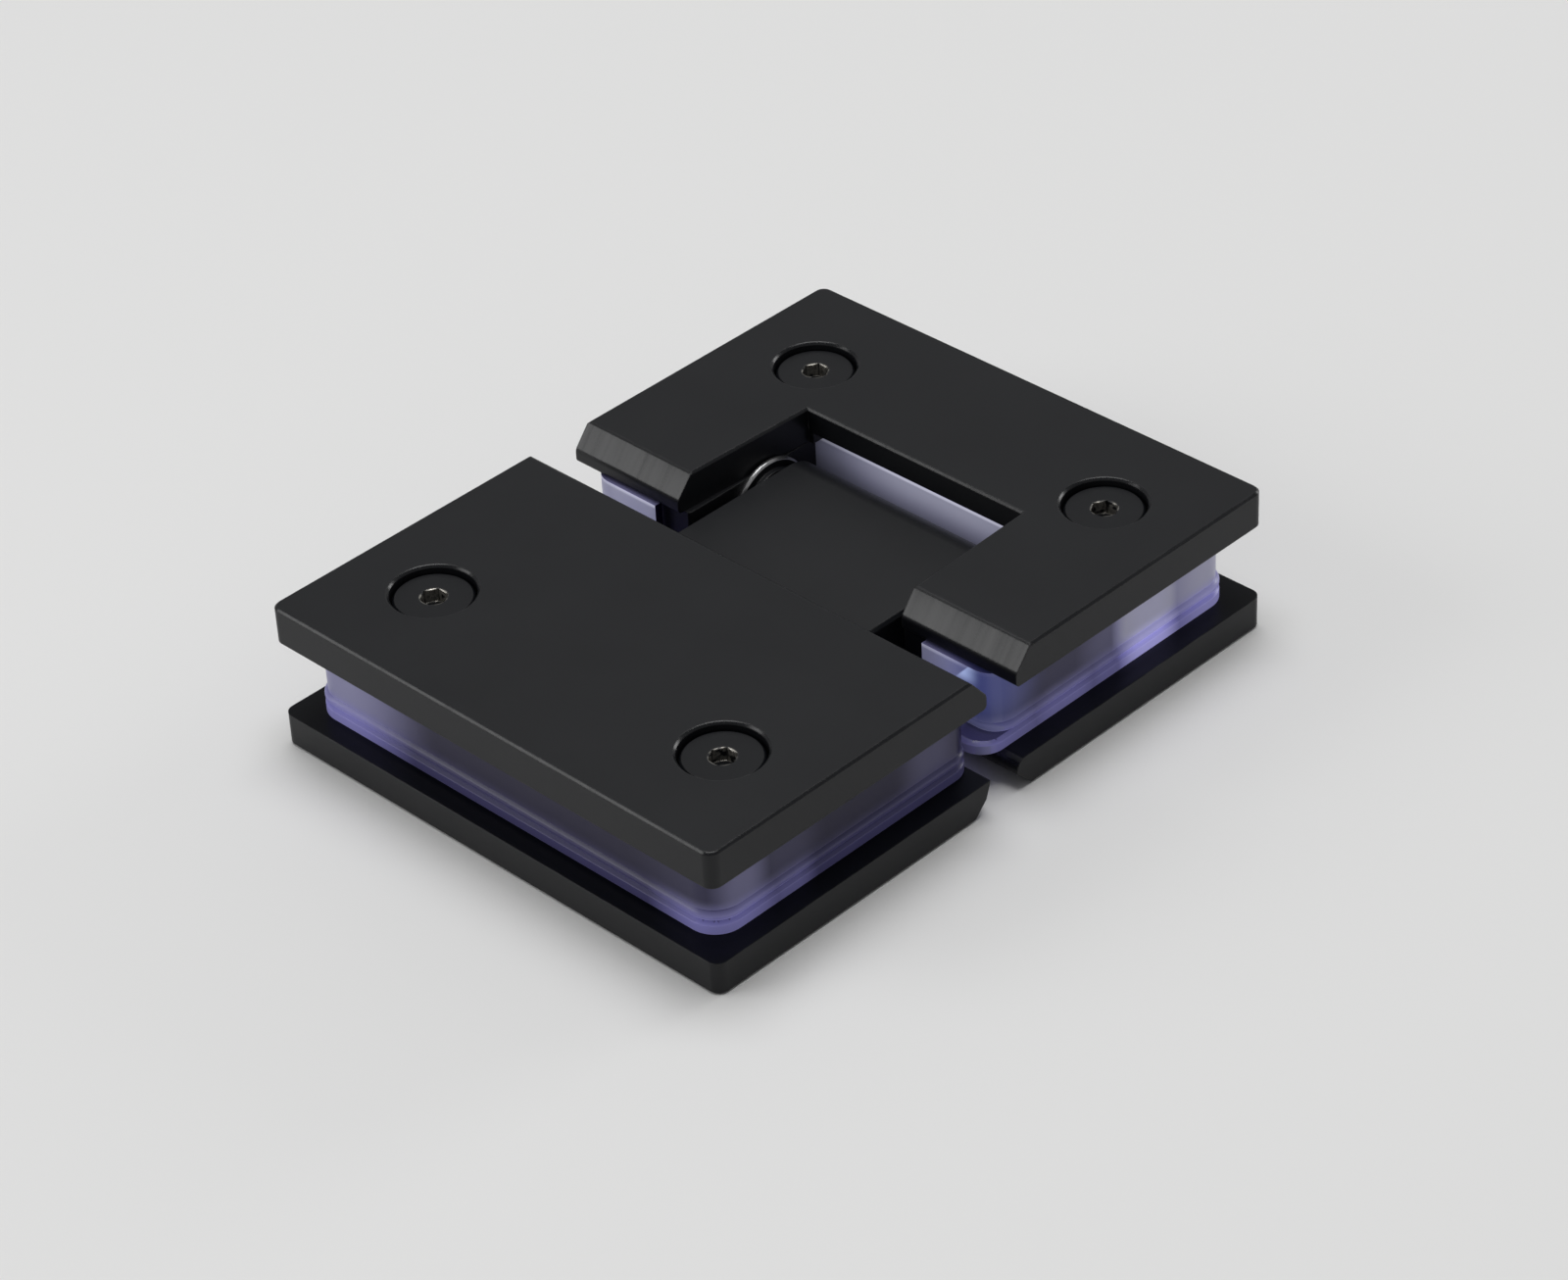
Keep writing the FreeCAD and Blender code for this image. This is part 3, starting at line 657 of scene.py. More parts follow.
@dataclass(frozen=True)
class AxisDistances:
    """Distance from the axes of the clamp screws and of the pivot, for marks that run round them."""

    screw_offset: float = 0.04
    screw_half_spacing: float = 0.0295
    pivot_offset: float = 0.021
    pivot_height: float = 0.012

    def build(self) -> Tree:
        """Make the node group.

        Returns:
            Group with the outputs Screw radius and Pivot radius, in metres.
        """
        tree, given, result = new_group(
            "axis_distances",
            {
                "Screw offset": self.screw_offset,
                "Screw half spacing": self.screw_half_spacing,
                "Pivot offset": self.pivot_offset,
                "Pivot height": self.pivot_height,
            },
            ["Screw radius", "Pivot radius"],
        )
        place = add_node(tree, "ShaderNodeTexCoord")
        folded = add_node(tree, "ShaderNodeVectorMath", operation="ABSOLUTE")
        link(tree, place.outputs["Object"], folded.inputs[0])
        axes = (
            ("Screw radius", folded.outputs["Vector"], ("Screw offset", "Screw half spacing", None)),
            ("Pivot radius", place.outputs["Object"], ("Pivot offset", None, "Pivot height")),
        )
        for name, source, centre_inputs in axes:
            centre = add_node(tree, "ShaderNodeCombineXYZ")
            for slot, label in enumerate(centre_inputs):
                if label:
                    link(tree, given.outputs[label], centre.inputs[slot])
            away = add_node(tree, "ShaderNodeVectorMath", operation="SUBTRACT")
            link(tree, source, away.inputs[0])
            link(tree, centre.outputs[0], away.inputs[1])
            flat = add_node(tree, "ShaderNodeVectorMath", operation="MULTIPLY")
            flat.inputs[1].default_value = [1.0 if label else 0.0 for label in centre_inputs]
            link(tree, away.outputs["Vector"], flat.inputs[0])
            length = add_node(tree, "ShaderNodeVectorMath", operation="LENGTH")
            link(tree, flat.outputs["Vector"], length.inputs[0])
            link(tree, length.outputs["Value"], result.inputs[name])
        return tree


@dataclass
class Effects:
    """Node groups that the finishes share, each built once."""

    groups: dict[str, Tree] = field(default_factory=dict)

    def build(self) -> None:
        """Build every shared group."""
        recipes = {
            "grain": SprayedGrain(),
            "edge": EdgeWearAndHighlight(),
            "streak": CutterStreaks(),
            "painted_vinyl_light": PaintedVinylLight(),
            "rings": AxisDistances(),
        }
        for name, recipe in recipes.items():
            self.groups[name] = recipe.build()
            lay_out(self.groups[name])

    def place(self, tree: Tree, name: str, **values: float) -> Node:
        """Put a shared group in a material.

        Args:
            tree: Node tree of the material.
            name: Short name of the group.
            **values: Input values, with underscores for spaces.

        Returns:
            The group node.
        """
        node = add_node(tree, "ShaderNodeGroup", node_tree=self.groups[name])
        for label, value in values.items():
            node.inputs[label.replace("_", " ")].default_value = value
        return node


EFFECTS = Effects()


@dataclass(frozen=True)
class BlackCoat:
    """Satin black coat over metal, a little paler on its edges, partly from wear and partly as a painted
    highlight.

    Attributes:
        name: Name of the material.
        dark: Colour of the coat between its grains.
        pale: Colour of its grains.
        rubbed_and_lit: Colour of its edges where worn, paler partly from wear and partly as a painted
            highlight.
        rough_low: Roughness between the grains.
        rough_high: Roughness of the grains.
        grains: Grains per metre.
        relief: Depth of the grain in metres.
        relief_share: Share of that relief that shows.
        streak_shine: How much less rough the cutter's streaks are.
        edge_radius: Radius of the edges in metres.
        edge_samples: Rays that look for an edge.
        refraction: Index of refraction of the coat.
        gloss: Usual specular level.
        inner_gloss: Specular level of the back plates' faces that look into the gap, kept low as painted
            shade.
        inner_below: Height in metres below which such faces lie.
        upward: How far up a face points to count as one of them.
    """

    name: str
    dark: Colour = (0.0024, 0.0028, 0.0042)
    pale: Colour = (0.0050, 0.0057, 0.0074)
    rubbed_and_lit: Colour = (0.03, 0.03, 0.032)
    rough_low: float = 0.34
    rough_high: float = 0.44
    grains: float = 2600.0
    relief: float = 0.000012
    relief_share: float = 0.3
    streak_shine: float = 0.3
    edge_radius: float = 0.0003
    edge_samples: int = 4
    refraction: float = 1.45
    gloss: float = 0.5
    inner_gloss: float = 0.17
    inner_below: float = 0.0060
    upward: float = 0.95

    def build(self) -> bpy.types.Material:
        """Make the material."""
        return self.lay()[0]

    def dull_gap_as_painted_shade(self, tree: Tree, shader: Node) -> None:
        """Take most of the gloss off the back plates' faces that look into the gap, as painted shade.

        Args:
            tree: Node tree of the material.
            shader: Principled node of the coat.
        """
        place = add_node(tree, "ShaderNodeTexCoord")
        height = split(tree, place.outputs["Object"])["Z"]
        facing = split(tree, place.outputs["Normal"])["Z"]
        low = maths(tree, "LESS_THAN", (height, self.inner_below))
        level = maths(tree, "GREATER_THAN", (facing, self.upward))
        inner = maths(tree, "MULTIPLY", (low, level))
        # Less gloss there as painted shade in the gap.
        gloss = spread(tree, inner, (self.gloss, self.inner_gloss))
        link(tree, gloss, shader.inputs["Specular IOR Level"])

    def lay(self) -> tuple[bpy.types.Material, Tree, Node]:
        """Make the coat and keep its tree for what goes over it.

        Returns:
            The material, its node tree and its Principled node.
        """
        material, tree, shader = start_material(self.name)
        grain = EFFECTS.place(tree, "grain", Grains_per_metre=self.grains)
        edge = EFFECTS.place(tree, "edge")
        streak = EFFECTS.place(tree, "streak")
        base = mix_colours(tree, grain.outputs["Speckle"], self.dark, self.pale)
        # Edges paler partly from wear and partly as a painted highlight.
        tint = mix_colours(tree, edge.outputs["Worn and lit edge"], base, self.rubbed_and_lit)
        link(tree, tint, shader.inputs["Base Color"])
        rough = spread(tree, grain.outputs["Speckle"], (self.rough_low, self.rough_high))
        cut = maths(tree, "MULTIPLY_ADD", (streak.outputs["Streak"], -self.streak_shine, rough))
        link(tree, cut, shader.inputs["Roughness"])
        relief = bump(tree, shader, grain.outputs["Height"], self.relief, self.relief_share)
        rounded = add_node(tree, "ShaderNodeBevel", samples=self.edge_samples)
        rounded.inputs["Radius"].default_value = self.edge_radius
        link(tree, rounded.outputs["Normal"], relief.inputs["Normal"])
        shader.inputs["IOR"].default_value = self.refraction
        self.dull_gap_as_painted_shade(tree, shader)
        return material, tree, shader


def bare(tree: Tree, shader: Node, mask: Socket, colour: Colour, rough: float) -> None:
    """Let bare metal show through a coat where a mask is 1.

    Args:
        tree: Node tree of the material.
        shader: Principled node of the coat.
        mask: Output that goes from 0 to 1.
        colour: Colour of the metal.
        rough: Roughness of the metal.
    """
    for label, metal in (("Base Color", (*colour, 1.0)), ("Roughness", rough)):
        under = shader.inputs[label].links[0].from_socket
        kind = "RGBA" if label == "Base Color" else "FLOAT"
        mix = add_node(tree, "ShaderNodeMix", data_type=kind)
        mix.inputs["B"].default_value = metal
        link(tree, mask, mix.inputs["Factor"])
        link(tree, under, mix.inputs["A"])
        link(tree, mix.outputs["Result"], shader.inputs[label])
    link(tree, mask, shader.inputs["Metallic"])


@dataclass(frozen=True)
class SocketCoat:
    """Black screw whose key socket has bright wear on its walls.

    Attributes:
        name: Name of the material.
        floor: Radius in metres inside which the socket keeps its coat.
        rim: Radius in metres outside which the head keeps its coat.
        blur: Half width of both borders.
        metal: Colour of the bare metal.
        metal_rough: Roughness of the bare metal.
        rough_low: Roughness of the coat between its grains.
        rough_high: Roughness of its grains.
        grains: Grains of the coat per metre.
        wear_grains: Small worn places per metre.
        wear_patches: Large worn places per metre.
        worn: Speckle values where the wall is whole and where it is worn.
    """

    name: str
    floor: float = 0.00184
    rim: float = 0.0021
    blur: float = 0.0001
    metal: Colour = (0.46, 0.44, 0.40)
    metal_rough: float = 0.3
    rough_low: float = 0.3
    rough_high: float = 0.38
    grains: float = 3600.0
    wear_grains: float = 900.0
    wear_patches: float = 700.0
    worn: Span = (0.42, 0.56)

    def build(self) -> bpy.types.Material:
        """Make the material.

        Returns:
            The new material.
        """
        coat = BlackCoat(self.name, rough_low=self.rough_low, rough_high=self.rough_high, grains=self.grains)
        material, tree, shader = coat.lay()
        radius = EFFECTS.place(tree, "rings").outputs["Screw radius"]
        inside = step(tree, radius, (self.rim + self.blur, self.rim - self.blur))
        outside = step(tree, radius, (self.floor - self.blur, self.floor + self.blur))
        band = maths(tree, "MULTIPLY", (inside, outside))
        wear = EFFECTS.place(
            tree, "grain", Grains_per_metre=self.wear_grains, Patches_per_metre=self.wear_patches
        )
        patches = step(tree, wear.outputs["Speckle"], self.worn)
        patchy = maths(tree, "MULTIPLY", (band, patches))
        bare(tree, shader, patchy, self.metal, self.metal_rough)
        return material


@dataclass(frozen=True)
class RimmedRing:
    """Dark thrust washer whose rim is polished."""

    name: str
    rim: float = 0.00735
    blur: float = 0.00005
    metal: Colour = (0.55, 0.55, 0.56)
    metal_rough: float = 0.3
    grains: float = 4000.0

    def build(self) -> bpy.types.Material:
        """Make the material.

        Returns:
            The new material.
        """
        material, tree, shader = BlackCoat(self.name, grains=self.grains).lay()
        radius = EFFECTS.place(tree, "rings").outputs["Pivot radius"]
        outside = step(tree, radius, (self.rim, self.rim + self.blur))
        bare(tree, shader, outside, self.metal, self.metal_rough)
        return material


@dataclass(frozen=True)
class ClearVinyl:
    """Violet-tinted clear vinyl with painted light and shade: pale in painted pools of light, deep in
    painted shade, with painted highlights and emission.

    Attributes:
        name: Name of the material.
        deep: Colour in painted shade, without any painted light.
        middle: Colour at half the painted light.
        painted_light: Colour at full painted light.
        pale: Colour that full painted light goes to high up.
        line: Colour of the painted highlights along the gasket's edges.
        painted_glow: Emitted colour that paints light where the spots are, in place of light inside the
            vinyl.
        painted_open_glow: The same painted emission on the sides towards the pivot.
        painted_glint: Emitted colour of the painted highlight stripe at the notch's mouth.
        painted_blue_glow: Emitted colour of the painted blue light there.
        painted_line_glow: Emitted colour of the painted edge highlights.
        painted_top_glow: Emitted colour of the painted highlight along the top.
        line_gain: How much more an edge's painted highlight shows at full painted light.
        line_least: How much it shows without painted light.
        rough: Roughness between the grains.
        rough_more: How much rougher the grains are.
        grains: Grains per metre.
        edge_reach: Width of an edge in metres.
        relief: Depth of the grain in metres.
        relief_share: Share of that relief that shows.
        refraction: Index of refraction of the vinyl.
    """

    name: str
    deep: Colour = (0.01, 0.007, 0.04)
    middle: Colour = (0.14, 0.13, 0.38)
    painted_light: Colour = (0.24, 0.228, 0.46)
    pale: Colour = (0.46, 0.46, 0.56)
    line: Colour = (0.34, 0.31, 0.62)
    painted_glow: Colour = (0.15, 0.144, 0.295)
    painted_open_glow: Colour = (0.135, 0.137, 0.19)
    painted_glint: Colour = (0.22, 0.28, 0.43)
    painted_blue_glow: Colour = (0.026, 0.034, 0.12)
    painted_line_glow: Colour = (0.08, 0.074, 0.13)
    painted_top_glow: Colour = (0.22, 0.22, 0.25)
    line_gain: float = 0.6
    line_least: float = 0.12
    rough: float = 0.24
    rough_more: float = 0.12
    grains: float = 700.0
    edge_reach: float = 0.00022
    relief: float = 0.00001
    relief_share: float = 0.1
    refraction: float = 1.45

    def lay_painted_glow(self, tree: Tree, painted_vinyl_light: Outputs, painted_edge_lines: Socket) -> Socket:
        """Add up the painted light that the vinyl gives off as emission.

        Args:
            tree: Node tree of the material.
            painted_vinyl_light: Outputs of the painted_vinyl_light_masks group, which hold the painted light
                and shade.
            painted_edge_lines: Mask of the painted highlights along the gasket's edges.

        Returns:
            Output with the colour of the painted emission.
        """
        tint = mix_colours(tree, painted_vinyl_light["Open side"], self.painted_glow, self.painted_open_glow)
        shine = add_node(tree, "ShaderNodeVectorMath", operation="SCALE")
        link(tree, tint, shine.inputs[0])
        link(tree, painted_vinyl_light["Painted glow"], shine.inputs["Scale"])
        lights = (
            (painted_vinyl_light["Painted glint"], self.painted_glint),
            (painted_vinyl_light["Blue"], self.painted_blue_glow),
            (painted_vinyl_light["Painted top line"], self.painted_top_glow),
            (painted_edge_lines, self.painted_line_glow),
        )
        for mask, light in lights:
            more = add_node(tree, "ShaderNodeVectorMath", operation="MULTIPLY_ADD")
            more.inputs[1].default_value = light
            link(tree, mask, more.inputs[0])
            link(tree, shine.outputs["Vector"], more.inputs[2])
            shine = more
        return shine.outputs["Vector"]

    def build(self) -> bpy.types.Material:
        """Make the material.

        Returns:
            The new material.
        """
        material, tree, shader = start_material(self.name)
        painted_vinyl_light = EFFECTS.place(tree, "painted_vinyl_light").outputs
        edge = EFFECTS.place(tree, "edge", Reach=self.edge_reach)
        grain = EFFECTS.place(tree, "grain", Grains_per_metre=self.grains)
        # Painted light and shade: deep where no spot lights the vinyl, paler in the spots.
        ramp = add_node(tree, "ShaderNodeValToRGB")
        stops = ramp.color_ramp.elements
        stops[0].color = (*self.deep, 1.0)
        stops[1].color = (*self.painted_light, 1.0)
        stops.new(0.5).color = (*self.middle, 1.0)
        link(tree, painted_vinyl_light["Painted light"], ramp.inputs["Fac"])
        # Painted light, paler higher up.
        whiten = maths(tree, "MULTIPLY", (painted_vinyl_light["Painted light"], painted_vinyl_light["Height"]))
        # Painted highlights along the gasket's edges.
        shown = maths(tree, "MULTIPLY_ADD", (painted_vinyl_light["Painted light"], self.line_gain, self.line_least))
        painted_edge_lines = maths(tree, "MULTIPLY", (shown, edge.outputs["Edge"]))
        paler = mix_colours(tree, whiten, ramp.outputs["Color"], self.pale)
        lined = mix_colours(tree, painted_edge_lines, paler, self.line)
        link(tree, lined, shader.inputs["Base Color"])
        # Emission that paints light on the vinyl: spots, stripe, blue place and edge highlights.
        link(tree, self.lay_painted_glow(tree, painted_vinyl_light, painted_edge_lines), shader.inputs["Emission Color"])
        shader.inputs["Emission Strength"].default_value = 1.0
        roughness = (self.rough, self.rough + self.rough_more)
        link(tree, spread(tree, grain.outputs["Speckle"], roughness), shader.inputs["Roughness"])
        bump(tree, shader, grain.outputs["Height"], self.relief, self.relief_share)
        shader.inputs["IOR"].default_value = self.refraction
        return material


@dataclass(frozen=True)
class Speckled:
    """Finish of small hidden pieces: two shades and two roughnesses by one grain.

    Attributes:
        name: Name of the material.
        shades: Colour between the grains and colour of the grains.
        rough: Roughness between the grains and of the grains.
        grains: Grains per metre.
        patches: Patches per metre.
        relief: Depth of the grain in metres.
        metallic: 1 for metal, 0 for plastic.
        relief_share: Share of the relief that shows.
    """

    name: str
    shades: tuple[Colour, Colour]
    rough: Span
    grains: float
    patches: float
    relief: float
    metallic: float
    relief_share: float = 0.2

    def build(self) -> bpy.types.Material:
        """Make the material.

        Returns:
            The new material.
        """
        material, tree, shader = start_material(self.name)
        grain = EFFECTS.place(
            tree, "grain", Grains_per_metre=self.grains, Patches_per_metre=self.patches
        )
        colour = mix_colours(tree, grain.outputs["Speckle"], *self.shades)
        link(tree, colour, shader.inputs["Base Color"])
        link(tree, spread(tree, grain.outputs["Speckle"], self.rough), shader.inputs["Roughness"])
        bump(tree, shader, grain.outputs["Height"], self.relief, self.relief_share)
        shader.inputs["Metallic"].default_value = self.metallic
        return material


TURNED_STEEL = Speckled(
    "turned_steel", ((0.36, 0.35, 0.34), (0.52, 0.51, 0.5)), (0.26, 0.41), 4000.0, 300.0, 0.00001, 1.0
)
BEARING_PLASTIC = Speckled(
    "bush_plastic_skin", ((0.5, 0.49, 0.46), (0.62, 0.61, 0.58)), (0.4, 0.55), 1500.0, 60.0, 0.00002, 0.0
)


@dataclass
class Finishes:
    """Every finish of the hinge, by the record's slot names."""

    made: dict[str, bpy.types.Material] = field(default_factory=dict)

    def build(self) -> None:
        """Make the materials."""
        recipes = {
            "black_coat": BlackCoat("black_coat_skin"),
            "black_block": BlackCoat("black_block_skin", rough_low=0.38, rough_high=0.5, grains=1800.0),
            "black_screw": SocketCoat("black_screw_skin"),
            "gasket_rubber": ClearVinyl("gasket_vinyl"),
            "steel": TURNED_STEEL,
            "polished_washer": RimmedRing("rimmed_ring"),
            "bush_plastic": BEARING_PLASTIC,
        }
        for slot, recipe in recipes.items():
            self.made[slot] = recipe.build()
            lay_out(self.made[slot].node_tree)

    def dress_nodes(self) -> None:
        """Give each CAD node the finish of its slot."""
        slots = {entry["node"]: entry["material_slot"] for entry in frame["record"]["subparts"]}
        for name, thing in frame["nodes"].items():
            material = self.made[slots[name]]
            if thing.material_slots:
                for holder in thing.material_slots:
                    holder.material = material
            else:
                thing.data.materials.append(material)


@dataclass
class DressedShell:
    """Copy of a CAD node whose curved faces are smooth, in place of the node.

    Attributes:
        node: Name of the CAD node.
        body: Body that the copy rides on.
        slot: Slot of its finish in the record.
        shading: Largest angle that still looks smooth.
        soften: Radius in metres of a soft sheet's slanted rims, or 0 for a hard piece.
        merge: Distance in metres below which points are one.
        straight: Angle in degrees below which faces are one.
        slanted: Angles in radians between which an edge is a slanted rim.
        rim_segments: Faces across a rounded rim.
        seams: Heights in metres of the soft layers' seams, in the node and in the copy.
        level_slack: Distance in metres within which a point is on a seam.
    """

    node: str
    body: str
    slot: str
    shading: Shading = Shading.ROUNDED
    soften: float = 0.0
    merge: float = 0.000004
    straight: float = 0.5
    slanted: Span = (0.6, 1.0)
    rim_segments: int = 3
    seams: tuple[Span, ...] = ((0.0055, 0.0055), (0.0090, 0.0079), (0.0114, 0.0098), (0.0185, 0.0185))
    level_slack: float = 1e-6

    def press_seams(self, shape: bmesh.types.BMesh) -> None:
        """Bring the seams between the soft layers down to where clamping presses them.

        Args:
            shape: Mesh of a soft sheet.
        """
        for (low, low_new), (high, high_new) in zip(self.seams, self.seams[1:]):
            bottom, top = low - self.level_slack, high + self.level_slack
            for vert in shape.verts:
                if not vert.tag and bottom <= vert.co.z <= top:
                    vert.tag = True
                    vert.co.z = low_new + (vert.co.z - low) * (high_new - low_new) / (high - low)

    def round_edges(self, shape: bmesh.types.BMesh) -> None:
        """Round the slanted rims of a soft sheet.

        Args:
            shape: Mesh of a soft sheet.
        """
        bmesh.ops.dissolve_limit(
            shape, angle_limit=math.radians(self.straight), verts=shape.verts, edges=shape.edges
        )
        least, most = self.slanted
        rims = [
            edge
            for edge in shape.edges
            if len(edge.link_faces) == 2 and least < edge.calc_face_angle(0.0) < most
        ]
        bmesh.ops.bevel(
            shape, geom=rims, offset=self.soften, offset_type="OFFSET", affect="EDGES",
            segments=self.rim_segments, profile=0.5, clamp_overlap=True, material=-1,
        )

    def build(self, finishes: Finishes) -> bpy.types.Object:
        """Make the copy and let it stand for its node.

        Args:
            finishes: Materials of the hinge.

        Returns:
            The new piece.
        """
        mesh = frame["nodes"][self.node].data.copy()
        mesh.name = f"{self.node}_shell"
        shape = bmesh.new()
        shape.from_mesh(mesh)
        bmesh.ops.remove_doubles(shape, verts=shape.verts, dist=self.merge)
        bmesh.ops.dissolve_degenerate(shape, dist=self.merge, edges=shape.edges)
        if self.soften:
            self.press_seams(shape)
            self.round_edges(shape)
        limit = math.radians(self.shading.value)
        for face in shape.faces:
            face.smooth = True
        for edge in shape.edges:
            edge.smooth = len(edge.link_faces) == 2 and edge.calc_face_angle(0.0) < limit
        shape.to_mesh(mesh)
        shape.free()
        piece = bpy.data.objects.new(f"{self.node}_shell", mesh)
        bpy.context.scene.collection.objects.link(piece)
        even = piece.modifiers.new("flat_faces_stay_flat", "WEIGHTED_NORMAL")
        even.mode = "FACE_AREA"
        even.keep_sharp = True
        mesh.materials.clear()
        mesh.materials.append(finishes.made[self.slot])
        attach(piece, self.body)
        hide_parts(self.node)
        return piece


@dataclass
class LeafDress:
    """Plates, gaskets and clamp screws of one leaf."""

    leaf: Leaf
    plates: tuple[str, ...] = ("front_plate", "back_plate")
    gaskets: tuple[str, ...] = ("front_gasket", "middle_gasket", "back_gasket")
    rim_radius: float = 0.00022

    def build(self, finishes: Finishes) -> list[bpy.types.Object]:
        """Dress the leaf's pieces.

        Args:
            finishes: Materials of the hinge.

        Returns:
            The pieces made.
        """
        side, body = self.leaf.value, self.leaf.body
        shells = [DressedShell(f"{name}_{side}", body, "black_coat") for name in self.plates]
        for name in self.gaskets:
            shells.append(DressedShell(f"{name}_{side}", body, "gasket_rubber", soften=self.rim_radius))
        shells.append(DressedShell(f"clamp_screws_{side}", body, "black_screw", Shading.TURNED))
        return [shell.build(finishes) for shell in shells]


@dataclass
class PivotDress:
    """Block, pin, lugs and the small pieces round the pivot."""

    fixed: dict[str, str] = field(
        default_factory=lambda: {
            "pivot_block": "black_block",
            "pin_bush_upper": "bush_plastic",
            "pin_bush_lower": "bush_plastic",
            "adjusting_screw_upper": "black_screw",
            "adjusting_screw_lower": "black_screw",
            "detent_spring_upper": "steel",
            "detent_spring_lower": "steel",
            "block_screws": "black_screw",
        }
    )
    swing: dict[str, str] = field(
        default_factory=lambda: {
            "pivot_pin": "steel",
            "pin_lug_upper": "black_block",
            "pin_lug_lower": "black_block",
            "thrust_washer_upper": "polished_washer",
            "thrust_washer_lower": "polished_washer",
            "lug_screws": "black_screw",
            "pin_set_screws": "black_screw",
        }
    )

    def build(self, finishes: Finishes) -> list[bpy.types.Object]:
        """Dress the pivot's pieces.

        Args:
            finishes: Materials of the hinge.

        Returns:
            The pieces made.
        """
        made = []
        for leaf, pieces in ((Leaf.FIXED, self.fixed), (Leaf.SWING, self.swing)):
            for node, slot in pieces.items():
                made.append(DressedShell(node, leaf.body, slot, Shading.TURNED).build(finishes))
        for end in ("upper", "lower"):
            shell = DressedShell(f"detent_plunger_{end}", f"plunger_{end}", "steel", Shading.TURNED)
            made.append(shell.build(finishes))
        return made


@dataclass(frozen=True)
class Softbox:
    """Square soft light that faces the hinge.

    Attributes:
        name: Name of the light.
        towards: Direction of the light from the hinge.
        distance: Distance from the hinge in metres.
        size: Side of the light in metres.
        power: Power in watts.
    """

    name: str
    towards: Point
    distance: float
    size: float
    power: float

    def hang(self) -> None:
        """Put the light in the scene."""
        data = bpy.data.lights.new(self.name, "AREA")
        data.size = self.size
        data.energy = self.power
        lamp = bpy.data.objects.new(self.name, data)
        bpy.context.scene.collection.objects.link(lamp)
        way = Vector(self.towards).normalized()
        turn = way.to_track_quat("Z", "Y").to_matrix().to_4x4()
        lamp.matrix_world = Matrix.Translation(way * self.distance) @ turn


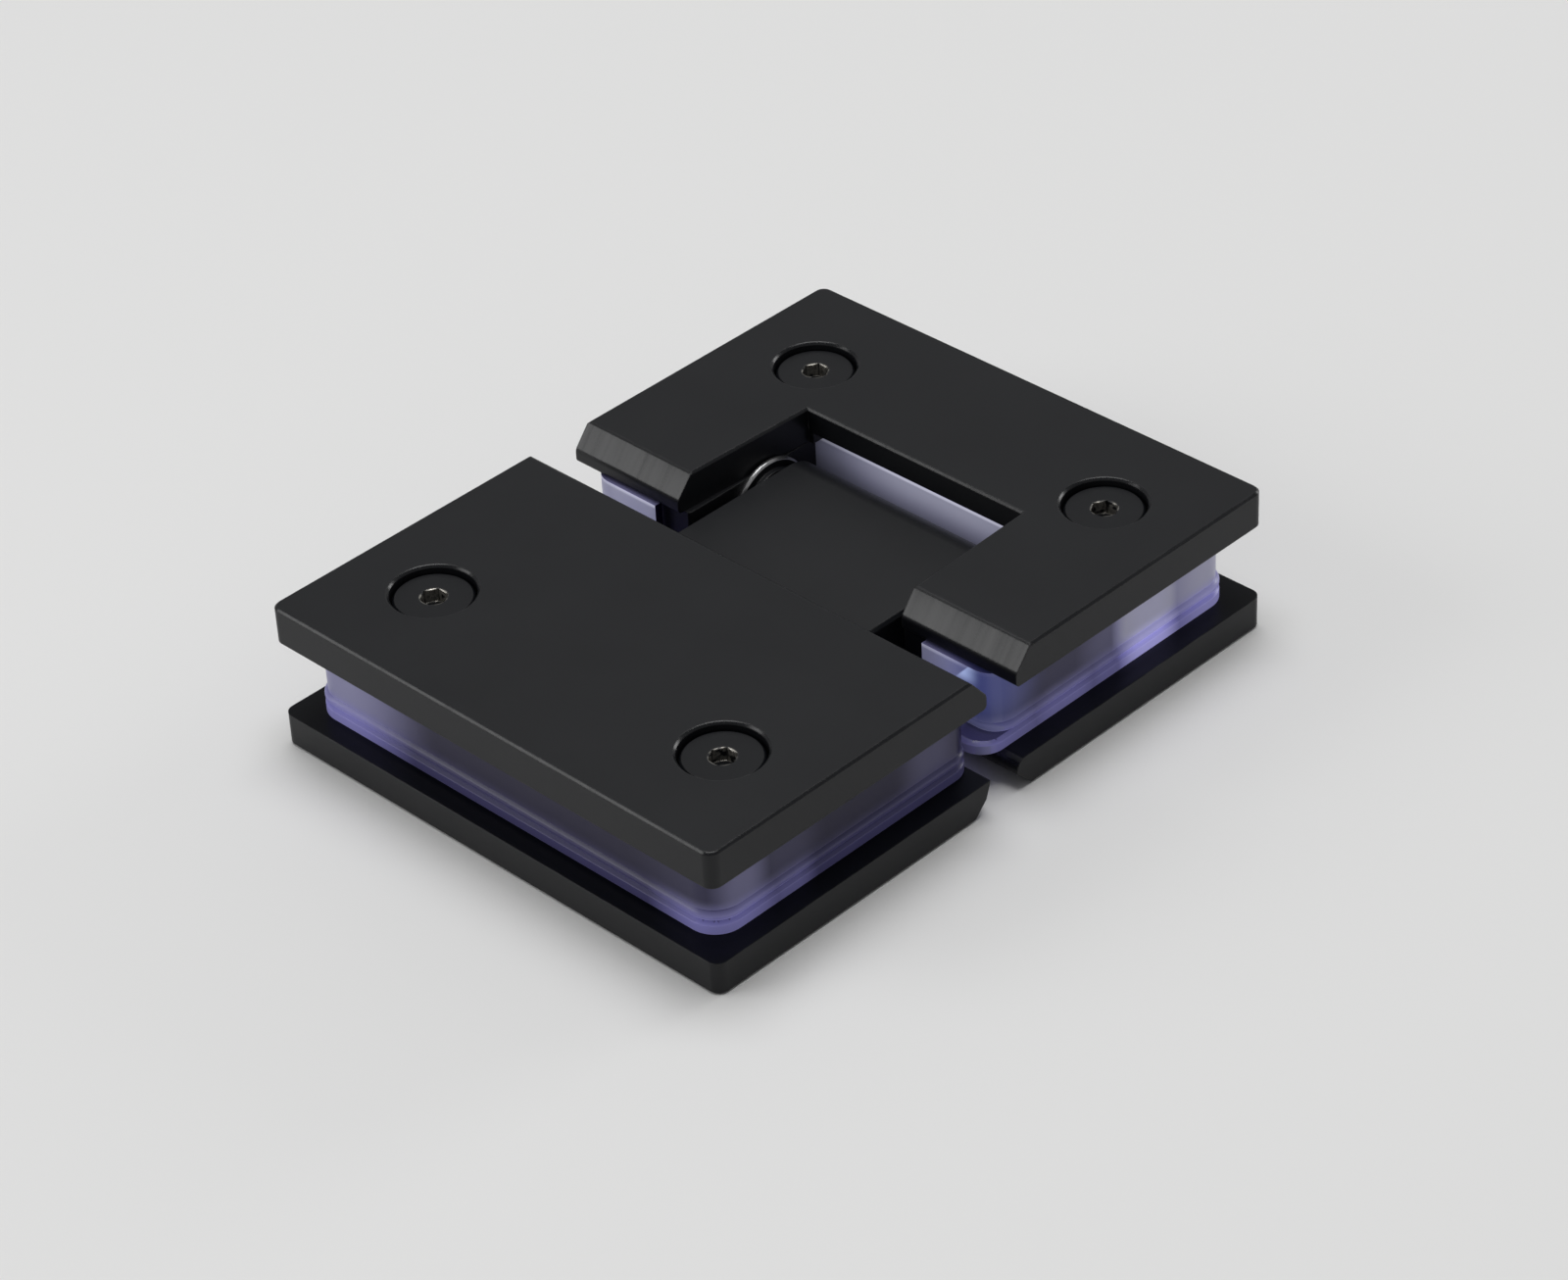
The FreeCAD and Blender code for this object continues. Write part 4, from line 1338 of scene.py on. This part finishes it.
@dataclass
class Studio:
    """Pale table, soft lights and the camera.

    Attributes:
        floor_half: Half the table's side in metres.
        floor_colour: Colour of the table.
        floor_mirrored: Its colour in the hinge's reflections.
        floor_rough: Roughness of the table.
        floor_refraction: Index of refraction of the table.
        world_heights: How far up a direction points where the world's low and high level hold.
        world_levels: Strength of the light from low down and from high up.
        lens: Focal length in millimetres.
        film_width: Width of the camera's film in millimetres.
        sight: Nearest and farthest distance that the camera sees, in metres.
        eye: Place of the camera in metres.
        forward: Direction that it looks in.
        up: Direction that is up in the picture.
        lights: The soft lights.
    """

    floor_half: float = 3.0
    floor_colour: Colour = (0.775, 0.775, 0.772)
    floor_mirrored: Colour = (0.56, 0.56, 0.558)
    floor_rough: float = 0.35
    floor_refraction: float = 1.35
    world_heights: Span = (0.4, 0.75)
    world_levels: Span = (0.31, 0.17)
    lens: float = 107.08
    film_width: float = 36.0
    sight: Span = (0.01, 20.0)
    eye: Point = (-0.39063, -0.40504, 0.40790)
    forward: Point = (0.56681, 0.58545, -0.57963)
    up: Point = (0.44208, 0.37756, 0.81365)
    lights: tuple[Softbox, ...] = (
        Softbox("window_light", (-0.69, 0.57, 0.45), 1.2, 0.62, 3.2),
        Softbox("top_light", (0.1, 0.08, 1.0), 2.0, 1.3, 28.0),
        Softbox("side_light", (0.92, -0.2, 0.3), 1.3, 0.4, 2.2),
    )

    def build_floor(self) -> None:
        """Make the table that the hinge lies on."""
        shape = bmesh.new()
        bmesh.ops.create_grid(shape, x_segments=1, y_segments=1, size=self.floor_half)
        mesh = bpy.data.meshes.new("table_top")
        shape.to_mesh(mesh)
        shape.free()
        floor = bpy.data.objects.new("table_top", mesh)
        bpy.context.scene.collection.objects.link(floor)
        material, tree, shader = start_material("pale_table")
        mirrored = add_node(tree, "ShaderNodeLightPath").outputs["Is Glossy Ray"]
        colour = mix_colours(tree, mirrored, self.floor_colour, self.floor_mirrored)
        link(tree, colour, shader.inputs["Base Color"])
        shader.inputs["Roughness"].default_value = self.floor_rough
        shader.inputs["IOR"].default_value = self.floor_refraction
        lay_out(tree)
        mesh.materials.append(material)

    def build_world(self) -> None:
        """Set the plain light from all round, a little stronger from low down."""
        world = bpy.data.worlds.new("plain_surround")
        world.use_nodes = True
        bpy.context.scene.world = world
        tree = world.node_tree
        back = tree.nodes["Background"]
        back.inputs["Color"].default_value = (1.0, 1.0, 1.0, 1.0)
        way = add_node(tree, "ShaderNodeTexCoord")
        height = split(tree, way.outputs["Generated"])["Z"]
        level = scaled(tree, height, self.world_heights, self.world_levels)
        link(tree, level, back.inputs["Strength"])
        lay_out(tree)

    def build_camera(self) -> None:
        """Stand the camera where the photograph was taken."""
        data = bpy.data.cameras.new("viewpoint")
        data.lens = self.lens
        data.sensor_width = self.film_width
        data.sensor_fit = "HORIZONTAL"
        data.clip_start, data.clip_end = self.sight
        camera = bpy.data.objects.new("viewpoint", data)
        bpy.context.scene.collection.objects.link(camera)
        ahead = Vector(self.forward).normalized()
        right = ahead.cross(Vector(self.up)).normalized()
        above = right.cross(ahead)
        turn = Matrix((right, above, -ahead)).transposed().to_4x4()
        camera.matrix_world = Matrix.Translation(Vector(self.eye)) @ turn
        bpy.context.scene.camera = camera

    def build(self) -> None:
        """Build the whole studio."""
        bpy.context.scene.view_settings.view_transform = "Standard"
        self.build_floor()
        self.build_world()
        for light in self.lights:
            light.hang()
        self.build_camera()


def main() -> None:
    """Build the finishes, the pieces and the studio in order."""
    logging.basicConfig(level=logging.INFO, format="%(message)s")
    EFFECTS.build()
    finishes = Finishes()
    finishes.build()
    finishes.dress_nodes()
    for part in (LeafDress(Leaf.FIXED), LeafDress(Leaf.SWING), PivotDress()):
        for piece in part.build(finishes):
            log.info("piece %s", piece.name)
    Studio().build()


if __name__ == "__main__":
    main()
